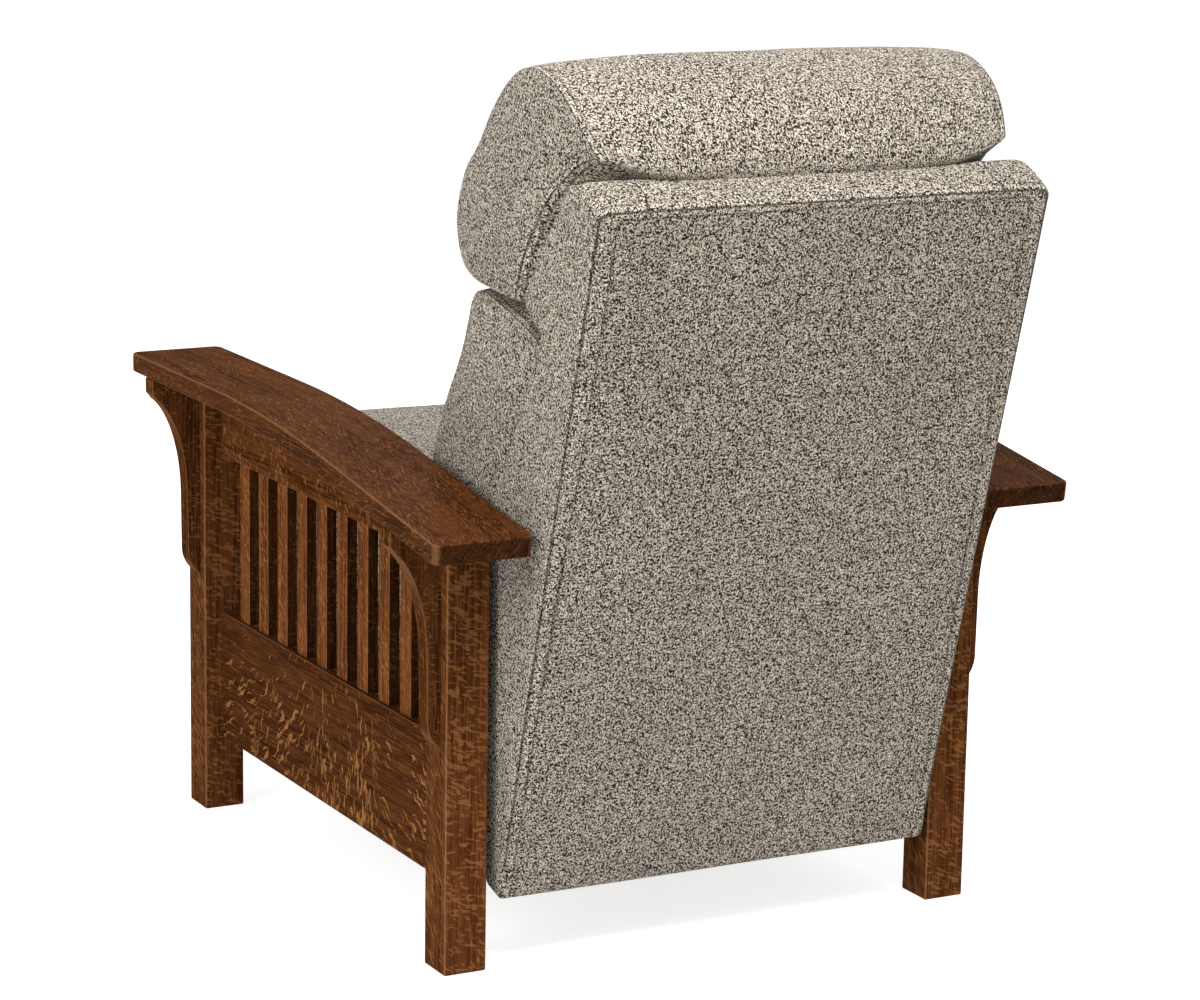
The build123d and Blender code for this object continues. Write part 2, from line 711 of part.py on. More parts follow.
# Seat plates, which the carriers, the footrest linkage and the back hang on
seat_bolt_places = [(y, seat_bolt_z) for y in seat_bolt_ys]
bolt_bore = bolt_r + pin_gap
back_pivot = (back_pivot_y, back_pivot_z)
with BuildPart() as seat_plate:
    leg_front = footrest_pivot_y - seat_plate_leg / 2
    leg_rear = footrest_pivot_y + seat_plate_leg / 2
    leg_low = slide_place[1] - link_width
    tail_y = back_pivot_y + back_boss_r
    with BuildSketch(side_plane(seat_plate_x)):
        with BuildLine():
            Polyline(
                (leg_front, leg_low),
                (leg_rear, leg_low),
                (leg_rear, seat_plate_low),
                (carrier_tops[1][0] + back_boss_r, seat_plate_low),
                (tail_y, back_pivot_z - back_boss_r),
                (tail_y, back_pivot_z + back_boss_r),
                (back_pivot_y - back_boss_r, back_pivot_z + back_boss_r),
                (back_pivot_y - 3 * back_boss_r, seat_plate_high),
                (leg_front, seat_plate_high),
                close=True,
            )
        make_face()
        fillet(vertices(), radius=link_width / 2)
        with Locations((footrest_pivot_y, (slide_place[1] + slide_high) / 2)):
            slot_long = slide_high - slide_place[1] + 2 * open_pin_gap
            SlotCenterToCenter(slot_long, 2 * open_bore, rotation=90, mode=Mode.SUBTRACT)
        with Locations(seat_pivot, *carrier_tops):
            Circle(bore, mode=Mode.SUBTRACT)
        with Locations(back_pivot):
            Circle(back_pin_r + pin_gap, mode=Mode.SUBTRACT)
        with Locations(*seat_bolt_places):
            Circle(bolt_bore, mode=Mode.SUBTRACT)
    extrude(amount=plate_thick)
keep("seat_plates", both_sides(seat_plate.part))

seat_plate_outer_x = seat_plate_x + plate_thick
with BuildPart() as seat_pins:
    add(pins(carrier_tops, seat_plate_x, carrier_x + plate_thick))
    add(pins([seat_pivot], near_link_x, seat_plate_outer_x))
keep("seat_pivot_pins", both_sides(seat_pins.part))
hinge_pin = pins(
    [back_pivot], near_link_x, seat_plate_outer_x, back_pin_r, back_pin_r * 3 / 2, inner_head=False
)
keep("back_hinge_pins", both_sides(hinge_pin))

bolt_length = seat_plate_outer_x + pin_head_gap - seat_inner_x + bolt_head_thick
with BuildPart() as seat_bolts:
    bolt_start = seat_inner_x - bolt_head_thick
    add(rounds(side_plane(bolt_start), seat_bolt_places, bolt_r, bolt_length))
    add(rounds(side_plane(seat_inner_x - fit_gap), seat_bolt_places, bolt_head_r, fit_gap - bolt_head_thick))
    head_face = side_plane(seat_plate_outer_x + pin_head_gap)
    add(rounds(head_face, seat_bolt_places, bolt_head_r, bolt_head_thick))
keep("seat_bolts", both_sides(seat_bolts.part))

with BuildPart() as spacers:
    add(rounds(side_plane(spacer_x), seat_bolt_places, spacer_r, spacer_length))
    add(rounds(side_plane(spacer_x), seat_bolt_places, bolt_bore, spacer_length), mode=Mode.SUBTRACT)
keep("seat_plate_spacers", both_sides(spacers.part))

# Seat frame: side boards between a front and a rear board, springs in clips, deck, border and cushion
side_board_reach = (seat_front_y + seat_board, seat_rear_y - seat_board)
with BuildPart() as seat_side:
    block((seat_inner_x, side_board_reach[0], seat_low), (seat_half, side_board_reach[1], seat_high))
    holes = rounds(side_plane(seat_inner_x), seat_bolt_places, bolt_bore, seat_board)
    add(holes, mode=Mode.SUBTRACT)
keep("seat_side_boards", both_sides(seat_side.part))
for name, front in (("seat_front_board", seat_front_y), ("seat_rear_board", side_board_reach[1])):
    with BuildPart() as cross_board:
        block((-seat_half, front, seat_low), (seat_half, front + seat_board, seat_high))
    keep(name, cross_board.part)

with BuildPart() as seat_border:
    block((border_x, seat_front_y, seat_low), (border_x + border_thick, seat_rear_y, seat_high))
    add(rounds(side_plane(border_x), seat_bolt_places, bolt_bore, border_thick), mode=Mode.SUBTRACT)
keep("seat_borders", both_sides(seat_border.part))

clip_mid = clip_tall / 2


def spring_clips(places, along):
    """Clips bored for the wire: places are their planes, whose local x is the wire's own line."""
    with BuildPart() as made:
        for place in places:
            with BuildSketch(place.offset(-clip_mid)):
                Rectangle(along, clip_width)
            extrude(amount=clip_tall)
            bore_plane = Plane(origin=place.origin - place.x_dir * along / 2, z_dir=place.x_dir)
            add(rounds(bore_plane, [(0, 0)], wire_r + pin_gap, along), mode=Mode.SUBTRACT)
    return made.part


spring_z = seat_high + clip_mid
spring_front_y = seat_front_y + clip_inset
spring_rear_y = seat_rear_y - clip_inset
with BuildPart() as seat_springs:
    for x in spring_xs:
        start = Plane(origin=(x, side_mid_y + spring_front_y, spring_z), x_dir=(0, 1, 0), z_dir=(0, 0, 1))
        add(zigzag_spring(start, spring_rear_y - spring_front_y))
keep("seat_springs", both_sides(seat_springs.part))
clip_planes = [
    Plane(origin=(x, side_mid_y + y, spring_z), x_dir=(0, 1, 0), z_dir=(0, 0, 1))
    for x in spring_xs
    for y in (spring_front_y, spring_rear_y)
]
keep("seat_spring_clips", both_sides(spring_clips(clip_planes, clip_length)))

with BuildPart() as seat_deck:
    block((-seat_half, seat_front_y, deck_low), (seat_half, seat_rear_y, deck_low + deck_thick))
keep("seat_deck", seat_deck.part)

cushion_outline_shares = (
    (0.97, 0.0), (0.99, 0.06), (0.995, 0.2), (1.0, 0.45), (0.985, 0.72), (0.97, 0.84), (0.92, 0.87),
    (0.5, 0.97), (0.12, 0.995), (0.06, 0.985), (0.022, 0.93), (0.0, 0.6), (0.012, 0.2), (0.018, 0.07),
    (0.04, 0.0),
)
cushion_section_shares = (
    (-1.0, -0.15), (-0.985, -0.07), (-0.95, -0.025), (-0.85, 0.0), (-0.45, 0.03), (0.0, 0.045),
    (0.45, 0.03), (0.85, 0.0), (0.95, -0.025), (0.985, -0.07), (1.0, -0.15),
)
cushion_size = (cushion_rear_y - cushion_front_y, cushion_tall)
seat_cushion = soft_body(
    side_plane,
    cushion_half,
    (cushion_front_y, cushion_low),
    cushion_size,
    cushion_outline_shares,
    cushion_section_shares,
    1 / 2,
)
keep("seat_cushion", seat_cushion)

# Back frame: side boards, cross rails, springs in clips and the brackets that hang it on the seat
back_side_shares = (
    (1.0, 0.2865), (1.03, 0.378), (0.867, 0.535), (0.709, 0.6565), (0.576, 0.7585), (0.521, 0.825),
    (0.4425, 0.9175),
)


def back_side_face(x, inset):
    """Side view of the back's body, drawn in by an inset."""
    with BuildSketch(back_plane(x)) as face:
        with BuildLine():
            top_front = (back_top_deep, back_tall + back_crown)
            front = [(back_belly_deep * a, back_tall * b) for a, b in back_side_shares]
            Polyline((0, back_tall), (0, 0), (back_foot_deep, 0), *front, top_front)
            middle = (back_top_deep / 2, back_tall + back_crown * 2 / 3)
            ThreePointArc((0, back_tall), middle, top_front)
        make_face()
        if inset:
            offset(amount=-inset, kind=Kind.INTERSECTION, mode=Mode.REPLACE)
    return face.sketch


def from_side_view(y, z):
    """A place of the side view as (v, u) of the back."""
    local = back_plane(0).to_local_coords(Vector(0, side_mid_y + y, z))
    return (local.X, local.Y)


pivot_in_back = from_side_view(*back_pivot)
bracket_bolt_shares = (0.5, 1.0)
bracket_bolts = [
    (pivot_in_back[0], pivot_in_back[1] + back_bracket_rise * share) for share in bracket_bolt_shares
]
back_bolt_face = near_outer_x + pin_head_gap
back_bolt_low = back_board_x + back_board / 4

with BuildPart() as back_board_left:
    extrude(back_side_face(back_board_x, back_skin + soft_gap), amount=-back_board)
    holes = rounds(back_plane(back_board_x + back_board), bracket_bolts, bolt_bore, back_board * 3 / 4)
    add(holes, mode=Mode.SUBTRACT)
keep("back_side_boards", both_sides(back_board_left.part))

with BuildPart() as back_rails:
    for low_u in back_rail_us:
        low = (back_rail_v, low_u)
        deep = back_rail_deep if low_u > back_rail_us[0] else back_foot_deep - back_rail_v
        high = (back_rail_v + deep, low_u + back_rail_tall)
        add(back_block(back_board_x, low, high))
keep("back_cross_rails", back_rails.part)

spring_v = back_rail_v + back_rail_deep + clip_mid
spring_low_u = back_rail_us[1] + clip_inset
spring_high_u = back_rail_us[2] + back_rail_tall - clip_inset
back_ups = (0, sin(lean), cos(lean))
back_outs = (0, -cos(lean), sin(lean))
with BuildPart() as back_springs:
    for x in spring_xs:
        start = back_plane(x).from_local_coords(Vector(spring_v, spring_low_u, 0))
        add(zigzag_spring(Plane(origin=start, x_dir=back_ups, z_dir=back_outs), spring_high_u - spring_low_u))
keep("back_springs", both_sides(back_springs.part))
back_clip_planes = [
    Plane(
        origin=back_plane(x).from_local_coords(Vector(spring_v, u, 0)),
        x_dir=back_ups,
        z_dir=back_outs,
    )
    for x in spring_xs
    for u in (spring_low_u, spring_high_u)
]
keep("back_spring_clips", both_sides(spring_clips(back_clip_planes, clip_length)))

with BuildPart() as back_bracket:
    with BuildSketch(back_plane(near_outer_x)):
        with Locations((pivot_in_back[0], pivot_in_back[1] + back_bracket_rise / 2)):
            SlotCenterToCenter(back_bracket_rise, back_bracket_width, rotation=90)
        with Locations(pivot_in_back):
            Circle(back_boss_r)
            Circle(back_pin_r + pin_gap, mode=Mode.SUBTRACT)
        with Locations(*bracket_bolts):
            Circle(bolt_bore, mode=Mode.SUBTRACT)
    extrude(amount=plate_thick)
keep("back_brackets", both_sides(back_bracket.part))

with BuildPart() as back_bolts:
    add(rounds(back_plane(back_bolt_face), bracket_bolts, bolt_r, back_bolt_face - back_bolt_low))
    add(rounds(back_plane(back_bolt_face), bracket_bolts, bolt_head_r, -plate_thick))
keep("back_bracket_bolts", both_sides(back_bolts.part))

# Covers of the back: outside panel, side bands and top band
with BuildPart() as outside_back:
    add(back_block(back_half, (0, 0), (back_skin, back_tall)))
keep("outside_back", outside_back.part)

with BuildPart() as side_band:
    extrude(back_side_face(back_half, 0), amount=back_skin)
    rear_room = (back_skin + soft_gap, back_tall + overrun)
    add(back_block(back_half + overrun, (-overrun, -overrun), rear_room), mode=Mode.SUBTRACT)
    holes = rounds(back_plane(back_half), bracket_bolts, bolt_bore, back_skin)
    add(holes, mode=Mode.SUBTRACT)
keep("back_side_bands", both_sides(side_band.part))

band_half = back_half - back_skin - soft_gap
with BuildPart() as top_band:
    extrude(back_side_face(band_half, 0), amount=2 * band_half)
    extrude(back_side_face(band_half, back_skin), amount=2 * band_half, mode=Mode.SUBTRACT)
    keep_u = back_tall + soft_gap
    low_part = back_block(back_half, (-overrun, -overrun), (back_belly_deep + overrun, keep_u))
    add(low_part, mode=Mode.SUBTRACT)
keep("back_top_band", top_band.part)

# Cushions of the back, seated on the inside back
pillow_outline_shares = (
    (0.36, 0.078), (0.49, 0.038), (0.62, 0.018), (0.76, 0.0), (0.88, 0.022), (0.965, 0.11), (1.0, 0.225),
    (0.975, 0.4), (0.89, 0.55), (0.81, 0.73), (0.69, 0.9), (0.56, 0.985), (0.4, 1.0), (0.23, 0.957),
    (0.056, 0.856), (0.0, 0.8), (0.055, 0.755),
)
lumbar_outline_shares = (
    (0.3, 0.12), (0.58, 0.03), (0.845, 0.0), (0.965, 0.022), (1.0, 0.1), (0.995, 0.2), (0.952, 0.32),
    (0.888, 0.45), (0.806, 0.573), (0.759, 0.695), (0.741, 0.8), (0.7, 0.9), (0.6, 0.955), (0.36, 0.99),
    (0.073, 1.0), (0.0, 0.955), (0.0, 0.88),
)
pillow_section_shares = (
    (-1.0, -0.1), (-0.985, -0.035), (-0.955, 0.0), (-0.88, 0.02), (-0.55, 0.055), (-0.2, 0.072),
    (0.2, 0.072), (0.55, 0.055), (0.88, 0.02), (0.955, 0.0), (0.985, -0.035), (1.0, -0.1),
)
lumbar_section_shares = (
    (-1.0, -0.1), (-0.985, -0.035), (-0.955, 0.0), (-0.88, 0.01), (-0.5, 0.02), (0.0, 0.03),
    (0.5, 0.02), (0.88, 0.01), (0.955, 0.0), (0.985, -0.035), (1.0, -0.1),
)
pillow_size = (pillow_deep, pillow_tall)
lumbar_size = (lumbar_deep, lumbar_tall)
pillow_corner = (pillow_rear_v, pillow_low_u)
lumbar_corner = (lumbar_rear_v, lumbar_low_u)
head_pillow = soft_body(
    back_plane, pillow_half, pillow_corner, pillow_size, pillow_outline_shares, pillow_section_shares, 0
)
keep("head_pillow", head_pillow)
lumbar_cushion = soft_body(
    back_plane, lumbar_half, lumbar_corner, lumbar_size, lumbar_outline_shares, lumbar_section_shares, 0
)
keep("lumbar_cushion", lumbar_cushion)


def seat_line(corner, size, outline_shares, high_u):
    """The stretch of a cushion's flat seat up to a height, set back by the soft clearance."""
    low = [base + long * share for base, long, share in zip(corner, size, outline_shares[0])]
    top = [base + long * share for base, long, share in zip(corner, size, outline_shares[-1])]
    reach = (high_u - low[1]) / (top[1] - low[1])
    return (low[0] - soft_gap, low[1]), (low[0] - soft_gap + (top[0] - low[0]) * reach, high_u)


with BuildPart() as inside_back:
    with BuildSketch(back_plane(inside_half)):
        with BuildLine():
            lumbar_top_u = pillow_low_u - 5 * inside_notch
            lumbar_seat = seat_line(lumbar_corner, lumbar_size, lumbar_outline_shares, lumbar_top_u)
            pillow_seat = seat_line(pillow_corner, pillow_size, pillow_outline_shares, back_tall)
            notch_v = lumbar_rear_v - inside_notch
            Polyline(
                (inside_rear_v, lumbar_seat[0][1]),
                *lumbar_seat,
                (notch_v, lumbar_seat[1][1]),
                (notch_v, lumbar_low_u + lumbar_tall + inside_notch),
                *pillow_seat,
                (inside_rear_v, pillow_seat[1][1]),
                close=True,
            )
        make_face()
    extrude(amount=2 * inside_half)
keep("inside_back", inside_back.part)

os.makedirs("parts", exist_ok=True)
for name, piece in pieces.items():
    piece.label = name
    export_step(piece, f"parts/{name}.step")
print(len(pieces), "nodes")
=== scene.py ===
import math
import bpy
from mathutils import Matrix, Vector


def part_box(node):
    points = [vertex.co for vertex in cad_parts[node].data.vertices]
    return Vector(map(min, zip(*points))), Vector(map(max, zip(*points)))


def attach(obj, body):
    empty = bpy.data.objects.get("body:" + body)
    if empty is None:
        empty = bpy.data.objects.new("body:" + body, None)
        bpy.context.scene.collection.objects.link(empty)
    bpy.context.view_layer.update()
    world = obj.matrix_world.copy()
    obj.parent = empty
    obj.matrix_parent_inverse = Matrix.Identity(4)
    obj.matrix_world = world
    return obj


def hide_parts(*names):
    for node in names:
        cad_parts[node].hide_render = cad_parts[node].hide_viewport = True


bl_info = {
    "name": "Mission recliner maker",
    "version": (1, 0, 0),
    "blender": (4, 5, 0),
    "location": "3D View > Sidebar > Recliner",
    "description": "Upholsters and finishes an oak reclining armchair around its packed frame",
    "category": "Add Mesh",
}

from collections import namedtuple

import bpy
import numpy as np
from mathutils import Matrix, Vector

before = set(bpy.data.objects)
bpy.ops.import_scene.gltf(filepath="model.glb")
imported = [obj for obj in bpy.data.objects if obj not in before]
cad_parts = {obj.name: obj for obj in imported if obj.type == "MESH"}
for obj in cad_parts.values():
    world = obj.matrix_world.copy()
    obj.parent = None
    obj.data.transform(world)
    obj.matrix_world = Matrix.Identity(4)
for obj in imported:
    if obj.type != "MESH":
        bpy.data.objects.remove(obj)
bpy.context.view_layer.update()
MM = 0.001

# Where the back stands: u runs up its rear face, v forward from it, as in the chair's source
LEAN = math.radians(14.8)
BACK_TALL = 873.0
BACK_FOOT = (402.3, 87.3)
# How far the arms reach in front of the side frames' middle, and where that middle lies in the frame
ARM_FRONT = 436.4
MIDDLE_Y = (ARM_FRONT - (BACK_FOOT[0] + BACK_TALL * math.sin(LEAN))) / 2

# Half widths of the soft pieces, in millimetres
BACK_HALF = 295.0
INSIDE_HALF = 287.0
PILLOW_HALF = 290.0
CUSHION_HALF = 280.0
PAD_HALF = 285.0

# Profiles as shares of a size, laid from a corner: v and u on the back, y and z in the side view. The
# pillow is tucked in at its rear, at a height u
PILLOW_CORNER, PILLOW_SIZE = (62.0, 673.0), (282.0, 295.0)
PILLOW_OUTLINE = (
    (0.36, 0.078), (0.49, 0.038), (0.62, 0.018), (0.76, 0.0), (0.88, 0.022), (0.965, 0.11), (1.0, 0.225),
    (0.975, 0.4), (0.89, 0.55), (0.81, 0.73), (0.69, 0.9), (0.56, 0.985), (0.4, 1.0), (0.23, 0.957),
    (0.045, 0.84), (-0.03, 0.755), (0.035, 0.69), (0.13, 0.54), (0.24, 0.32),
)
PILLOW_TUCK_U = 900.0
LUMBAR_CORNER, LUMBAR_SIZE = (110.0, 367.0), (232.0, 305.0)
LUMBAR_OUTLINE = (
    (0.3, 0.12), (0.58, 0.03), (0.845, 0.0), (0.965, 0.022), (1.0, 0.1), (1.0, 0.2), (0.978, 0.32),
    (0.935, 0.45), (0.87, 0.6), (0.83, 0.72), (0.81, 0.83), (0.79, 0.93), (0.7, 0.99), (0.42, 1.005),
    (0.15, 1.0), (0.02, 0.98), (0.0, 0.88), (0.1, 0.63), (0.2, 0.37),
)
SEAT_CORNER, SEAT_SIZE = (-413.0, 356.6), (698.0, 164.0)
SEAT_OUTLINE = (
    (0.97, 0.0), (0.99, 0.06), (0.995, 0.2), (1.0, 0.45), (0.985, 0.72), (0.97, 0.84), (0.92, 0.87),
    (0.5, 0.97), (0.12, 0.995), (0.06, 0.985), (0.022, 0.93), (0.0, 0.6), (0.012, 0.2), (0.018, 0.07),
    (0.04, 0.0), (0.35, 0.0), (0.66, 0.0),
)
PAD_CORNER, PAD_SIZE = (-429.3, 115.0), (35.0, 220.0)
PAD_OUTLINE = (
    (1.0, 0.02), (0.8, 0.0), (0.45, 0.01), (0.12, 0.06), (0.04, 0.2), (0.0, 0.5), (0.04, 0.8),
    (0.12, 0.94), (0.45, 0.99), (0.8, 1.0), (1.0, 0.98), (1.0, 0.66), (1.0, 0.34),
)

# Lines over the height u, in millimetres: where the pillow's end panels fold, and the back's depth
PILLOW_FOLD = (
    (660.0, 192.0), (696.0, 182.0), (759.0, 168.0), (809.0, 147.0), (849.0, 128.0), (892.0, 94.0),
    (911.0, 62.0), (925.0, 30.0), (945.0, 0.0),
)
BACK_SIDE = (
    (0.0, 34.0), (250.0, 165.0), (330.0, 170.0), (467.0, 143.0), (573.0, 117.0), (662.0, 95.0),
    (720.0, 86.0), (801.0, 73.0), (873.0, 60.0),
)

# Distances from a seam, in millimetres: cloth far from any, and where each mark of a seam fades. The crease
# and the stitch line are painted shade in their grooves, the lip a painted highlight on the raised strip
# beside the seam
NO_SEAM = 60.0
CREASE = (0.5, 1.9)
STITCH = (0.5, 1.6)
LIP_START = (1.9, 3.0)
LIP_END = (5.0, 6.5)

# A stuffed roll, in millimetres but for its waves, which are in metres, and shares. Across it: its
# steps and how even they are, the pinch beside a seam, the waves of slack, and how far a seam holds
ROLL_STEPS = 84
EVENNESS = 0.65
PINCH = 0.012
PINCH_WIDTH = 0.03
WAVE_LONG = 0.075
WAVE_SHORT = 0.03
SEAM_HOLD = 12.0
# Its end panels: the share of the profile at each ring, how far past the seam they start, and how far
# past the last ring they close
END_SHARES = np.array([0.985, 0.95, 0.9, 0.84, 0.77, 0.7, 0.62, 0.54, 0.45, 0.36, 0.26, 0.16, 0.06])
SEAM_LIFT = 1.2
TIP_LIFT = 0.3
# Their fold: how softly and by what share of the way it turns in, how far before the seam it starts,
# and the way past it where there is none
FOLD_SOFTNESS = 4.0
FOLD_SHARE = 0.9
FOLD_REACH = 130.0
NOT_FOLDED = -1000.0

# How far a lean of the oak's rays takes to fade, in metres
RAY_FADE = 0.05

# The filling: its pressure, the frames that it acts for, the cloth's mass, the least hold of a seam
# that counts, and how many swells a point may go
PRESSURE = 4.0
GROW_FRAMES = 20
CLOTH_MASS = 0.3
LEAST_HOLD = 0.05
CAP_SHARE = 3


# Places in the chair's frame, in metres

def on_back(x, flat):
    """Points of the back from x and (v, u) in millimetres: v forward from its rear face, u up it."""
    x, v, u = np.broadcast_arrays(x, flat[..., 0], flat[..., 1])
    y = MIDDLE_Y + BACK_FOOT[0] + u * math.sin(LEAN) - v * math.cos(LEAN)
    z = BACK_FOOT[1] + u * math.cos(LEAN) + v * math.sin(LEAN)
    return np.stack([x, y, z], -1) * MM


def on_side(x, flat):
    """Points from x and (y, z) in millimetres, y counted from the middle of the side frames."""
    x, y, z = np.broadcast_arrays(x, flat[..., 0], flat[..., 1])
    return np.stack([x, MIDDLE_Y + y, z], -1) * MM


# Curves and surfaces

def closed_curve(points, count):
    """A smooth closed line through the points, cut into equal steps: between two points each place is
    the Catmull-Rom cubic of its four neighbours, and the steps are read off its running length."""
    p = np.asarray(points, float)
    t = np.linspace(0, 1, 24, endpoint=False)[None, :, None]
    before, start, end, after = (np.roll(p, shift, 0)[:, None] for shift in (1, 0, -1, -2))
    leave, arrive = 0.5 * (end - before), 0.5 * (after - start)
    line = (
        (2 * t**3 - 3 * t**2 + 1) * start
        + (t**3 - 2 * t**2 + t) * leave
        + (3 * t**2 - 2 * t**3) * end
        + (t**3 - t**2) * arrive
    ).reshape(-1, 2)
    line = np.vstack([line, line[:1]])
    run = np.concatenate([[0], np.cumsum(np.hypot(*np.diff(line, axis=0).T))])
    steps = np.linspace(0, run[-1], count, endpoint=False)
    return np.stack([np.interp(steps, run, line[:, k]) for k in (0, 1)], -1), run[-1]


def outline(shares, corner, size, count):
    """A closed profile from shares of its size, laid from its corner."""
    return closed_curve(np.asarray(corner) + np.asarray(shares) * np.asarray(size), count)


def soft_noise(points, scale, seed):
    """Slow waves for slack cloth: a sum of six sines along fixed slanting directions, from -1 to 1."""
    rng = np.random.default_rng(seed)
    total = np.zeros(points.shape[:-1])
    for octave in range(6):
        direction = rng.normal(size=3)
        direction *= (1 + 0.45 * octave) / np.linalg.norm(direction) / scale
        total += np.sin(points @ direction + rng.uniform(0, 2 * math.pi)) / (1 + 0.6 * octave)
    return total / 3.2


def near(values, middle, width):
    """A smooth bump of height one about a middle: the bell curve of the distance over the width."""
    return np.exp(-(((values - middle) / width) ** 2))


def make_object(name, points, patches, seams=None):
    """A mesh object from shared points and patches. A patch is a grid of point numbers with a grid of
    cloth coordinates in metres; where a grid's rows close to one point, its quads become triangles."""
    quads, quad_uvs, tris, tri_uvs = [], [], [], []
    for numbers, cloth in patches:
        corners = [numbers[:-1, :-1], numbers[1:, :-1], numbers[1:, 1:], numbers[:-1, 1:]]
        uvs = [cloth[:-1, :-1], cloth[1:, :-1], cloth[1:, 1:], cloth[:-1, 1:]]
        faces = np.stack(corners, -1).reshape(-1, 4)
        face_uvs = np.stack(uvs, -2).reshape(-1, 4, 2)
        shut_low = faces[:, 0] == faces[:, 3]
        shut_high = faces[:, 1] == faces[:, 2]
        whole = ~(shut_low | shut_high)
        quads.append(faces[whole])
        quad_uvs.append(face_uvs[whole])
        tris += [faces[shut_low][:, :3], faces[shut_high][:, [0, 1, 3]]]
        tri_uvs += [face_uvs[shut_low][:, :3], face_uvs[shut_high][:, [0, 1, 3]]]
    quads, tris = np.concatenate(quads), np.concatenate(tris)
    uvs = np.concatenate([np.concatenate(quad_uvs).reshape(-1, 2), np.concatenate(tri_uvs).reshape(-1, 2)])
    corners = np.concatenate([quads.ravel(), tris.ravel()])
    starts = np.concatenate([np.arange(len(quads)) * 4, len(quads) * 4 + np.arange(len(tris)) * 3])
    mesh = bpy.data.meshes.new(name)
    mesh.vertices.add(len(points))
    mesh.vertices.foreach_set("co", np.asarray(points, np.float32).ravel())
    mesh.loops.add(len(corners))
    mesh.loops.foreach_set("vertex_index", corners.astype(np.int32))
    mesh.polygons.add(len(starts))
    mesh.polygons.foreach_set("loop_start", starts.astype(np.int32))
    mesh.update(calc_edges=True)
    mesh.uv_layers.new(name="Cloth")
    mesh.uv_layers["Cloth"].data.foreach_set("uv", uvs.astype(np.float32).ravel())
    if seams is not None:
        held = mesh.attributes.new("seam", "FLOAT", "POINT")
        held.data.foreach_set("value", np.asarray(seams, np.float32))
    if signed_volume(points, quads, tris) < 0:
        mesh.flip_normals()
    mesh.validate()
    mesh.shade_smooth()
    made = bpy.data.objects.new(name, mesh)
    bpy.context.scene.collection.objects.link(made)
    return made


def signed_volume(points, quads, tris):
    """Six times a shell's volume, positive where its faces point outwards: the sum over the faces of
    the triple product of their corners."""
    all_tris = np.concatenate([quads[:, :3], quads[:, [0, 2, 3]], tris])
    a, b, c = (points[all_tris[:, k]] for k in range(3))
    return float(np.einsum("ij,ij->", a, np.cross(b, c)))


Stuffing = namedtuple("Stuffing", "crown bulge slack swell")


def stuffing(shape, crown):
    """How one cushion is filled, in millimetres but for its crown."""
    return Stuffing(crown, shape.end_bulge / MM, shape.slack / MM, shape.swell / MM)


def finish_piece(made, body, stands_for, slot="tweed", levels=1):
    """Smooths a piece, gives it its slot's cloth and sets it on its body in place of its nodes."""
    if levels:
        smooth = made.modifiers.new("Smooth", "SUBSURF")
        smooth.levels = smooth.render_levels = levels
        smooth.uv_smooth = "NONE"
    made.data.materials.append(cloth_of(slot))
    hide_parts(*stands_for)
    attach(made, body)


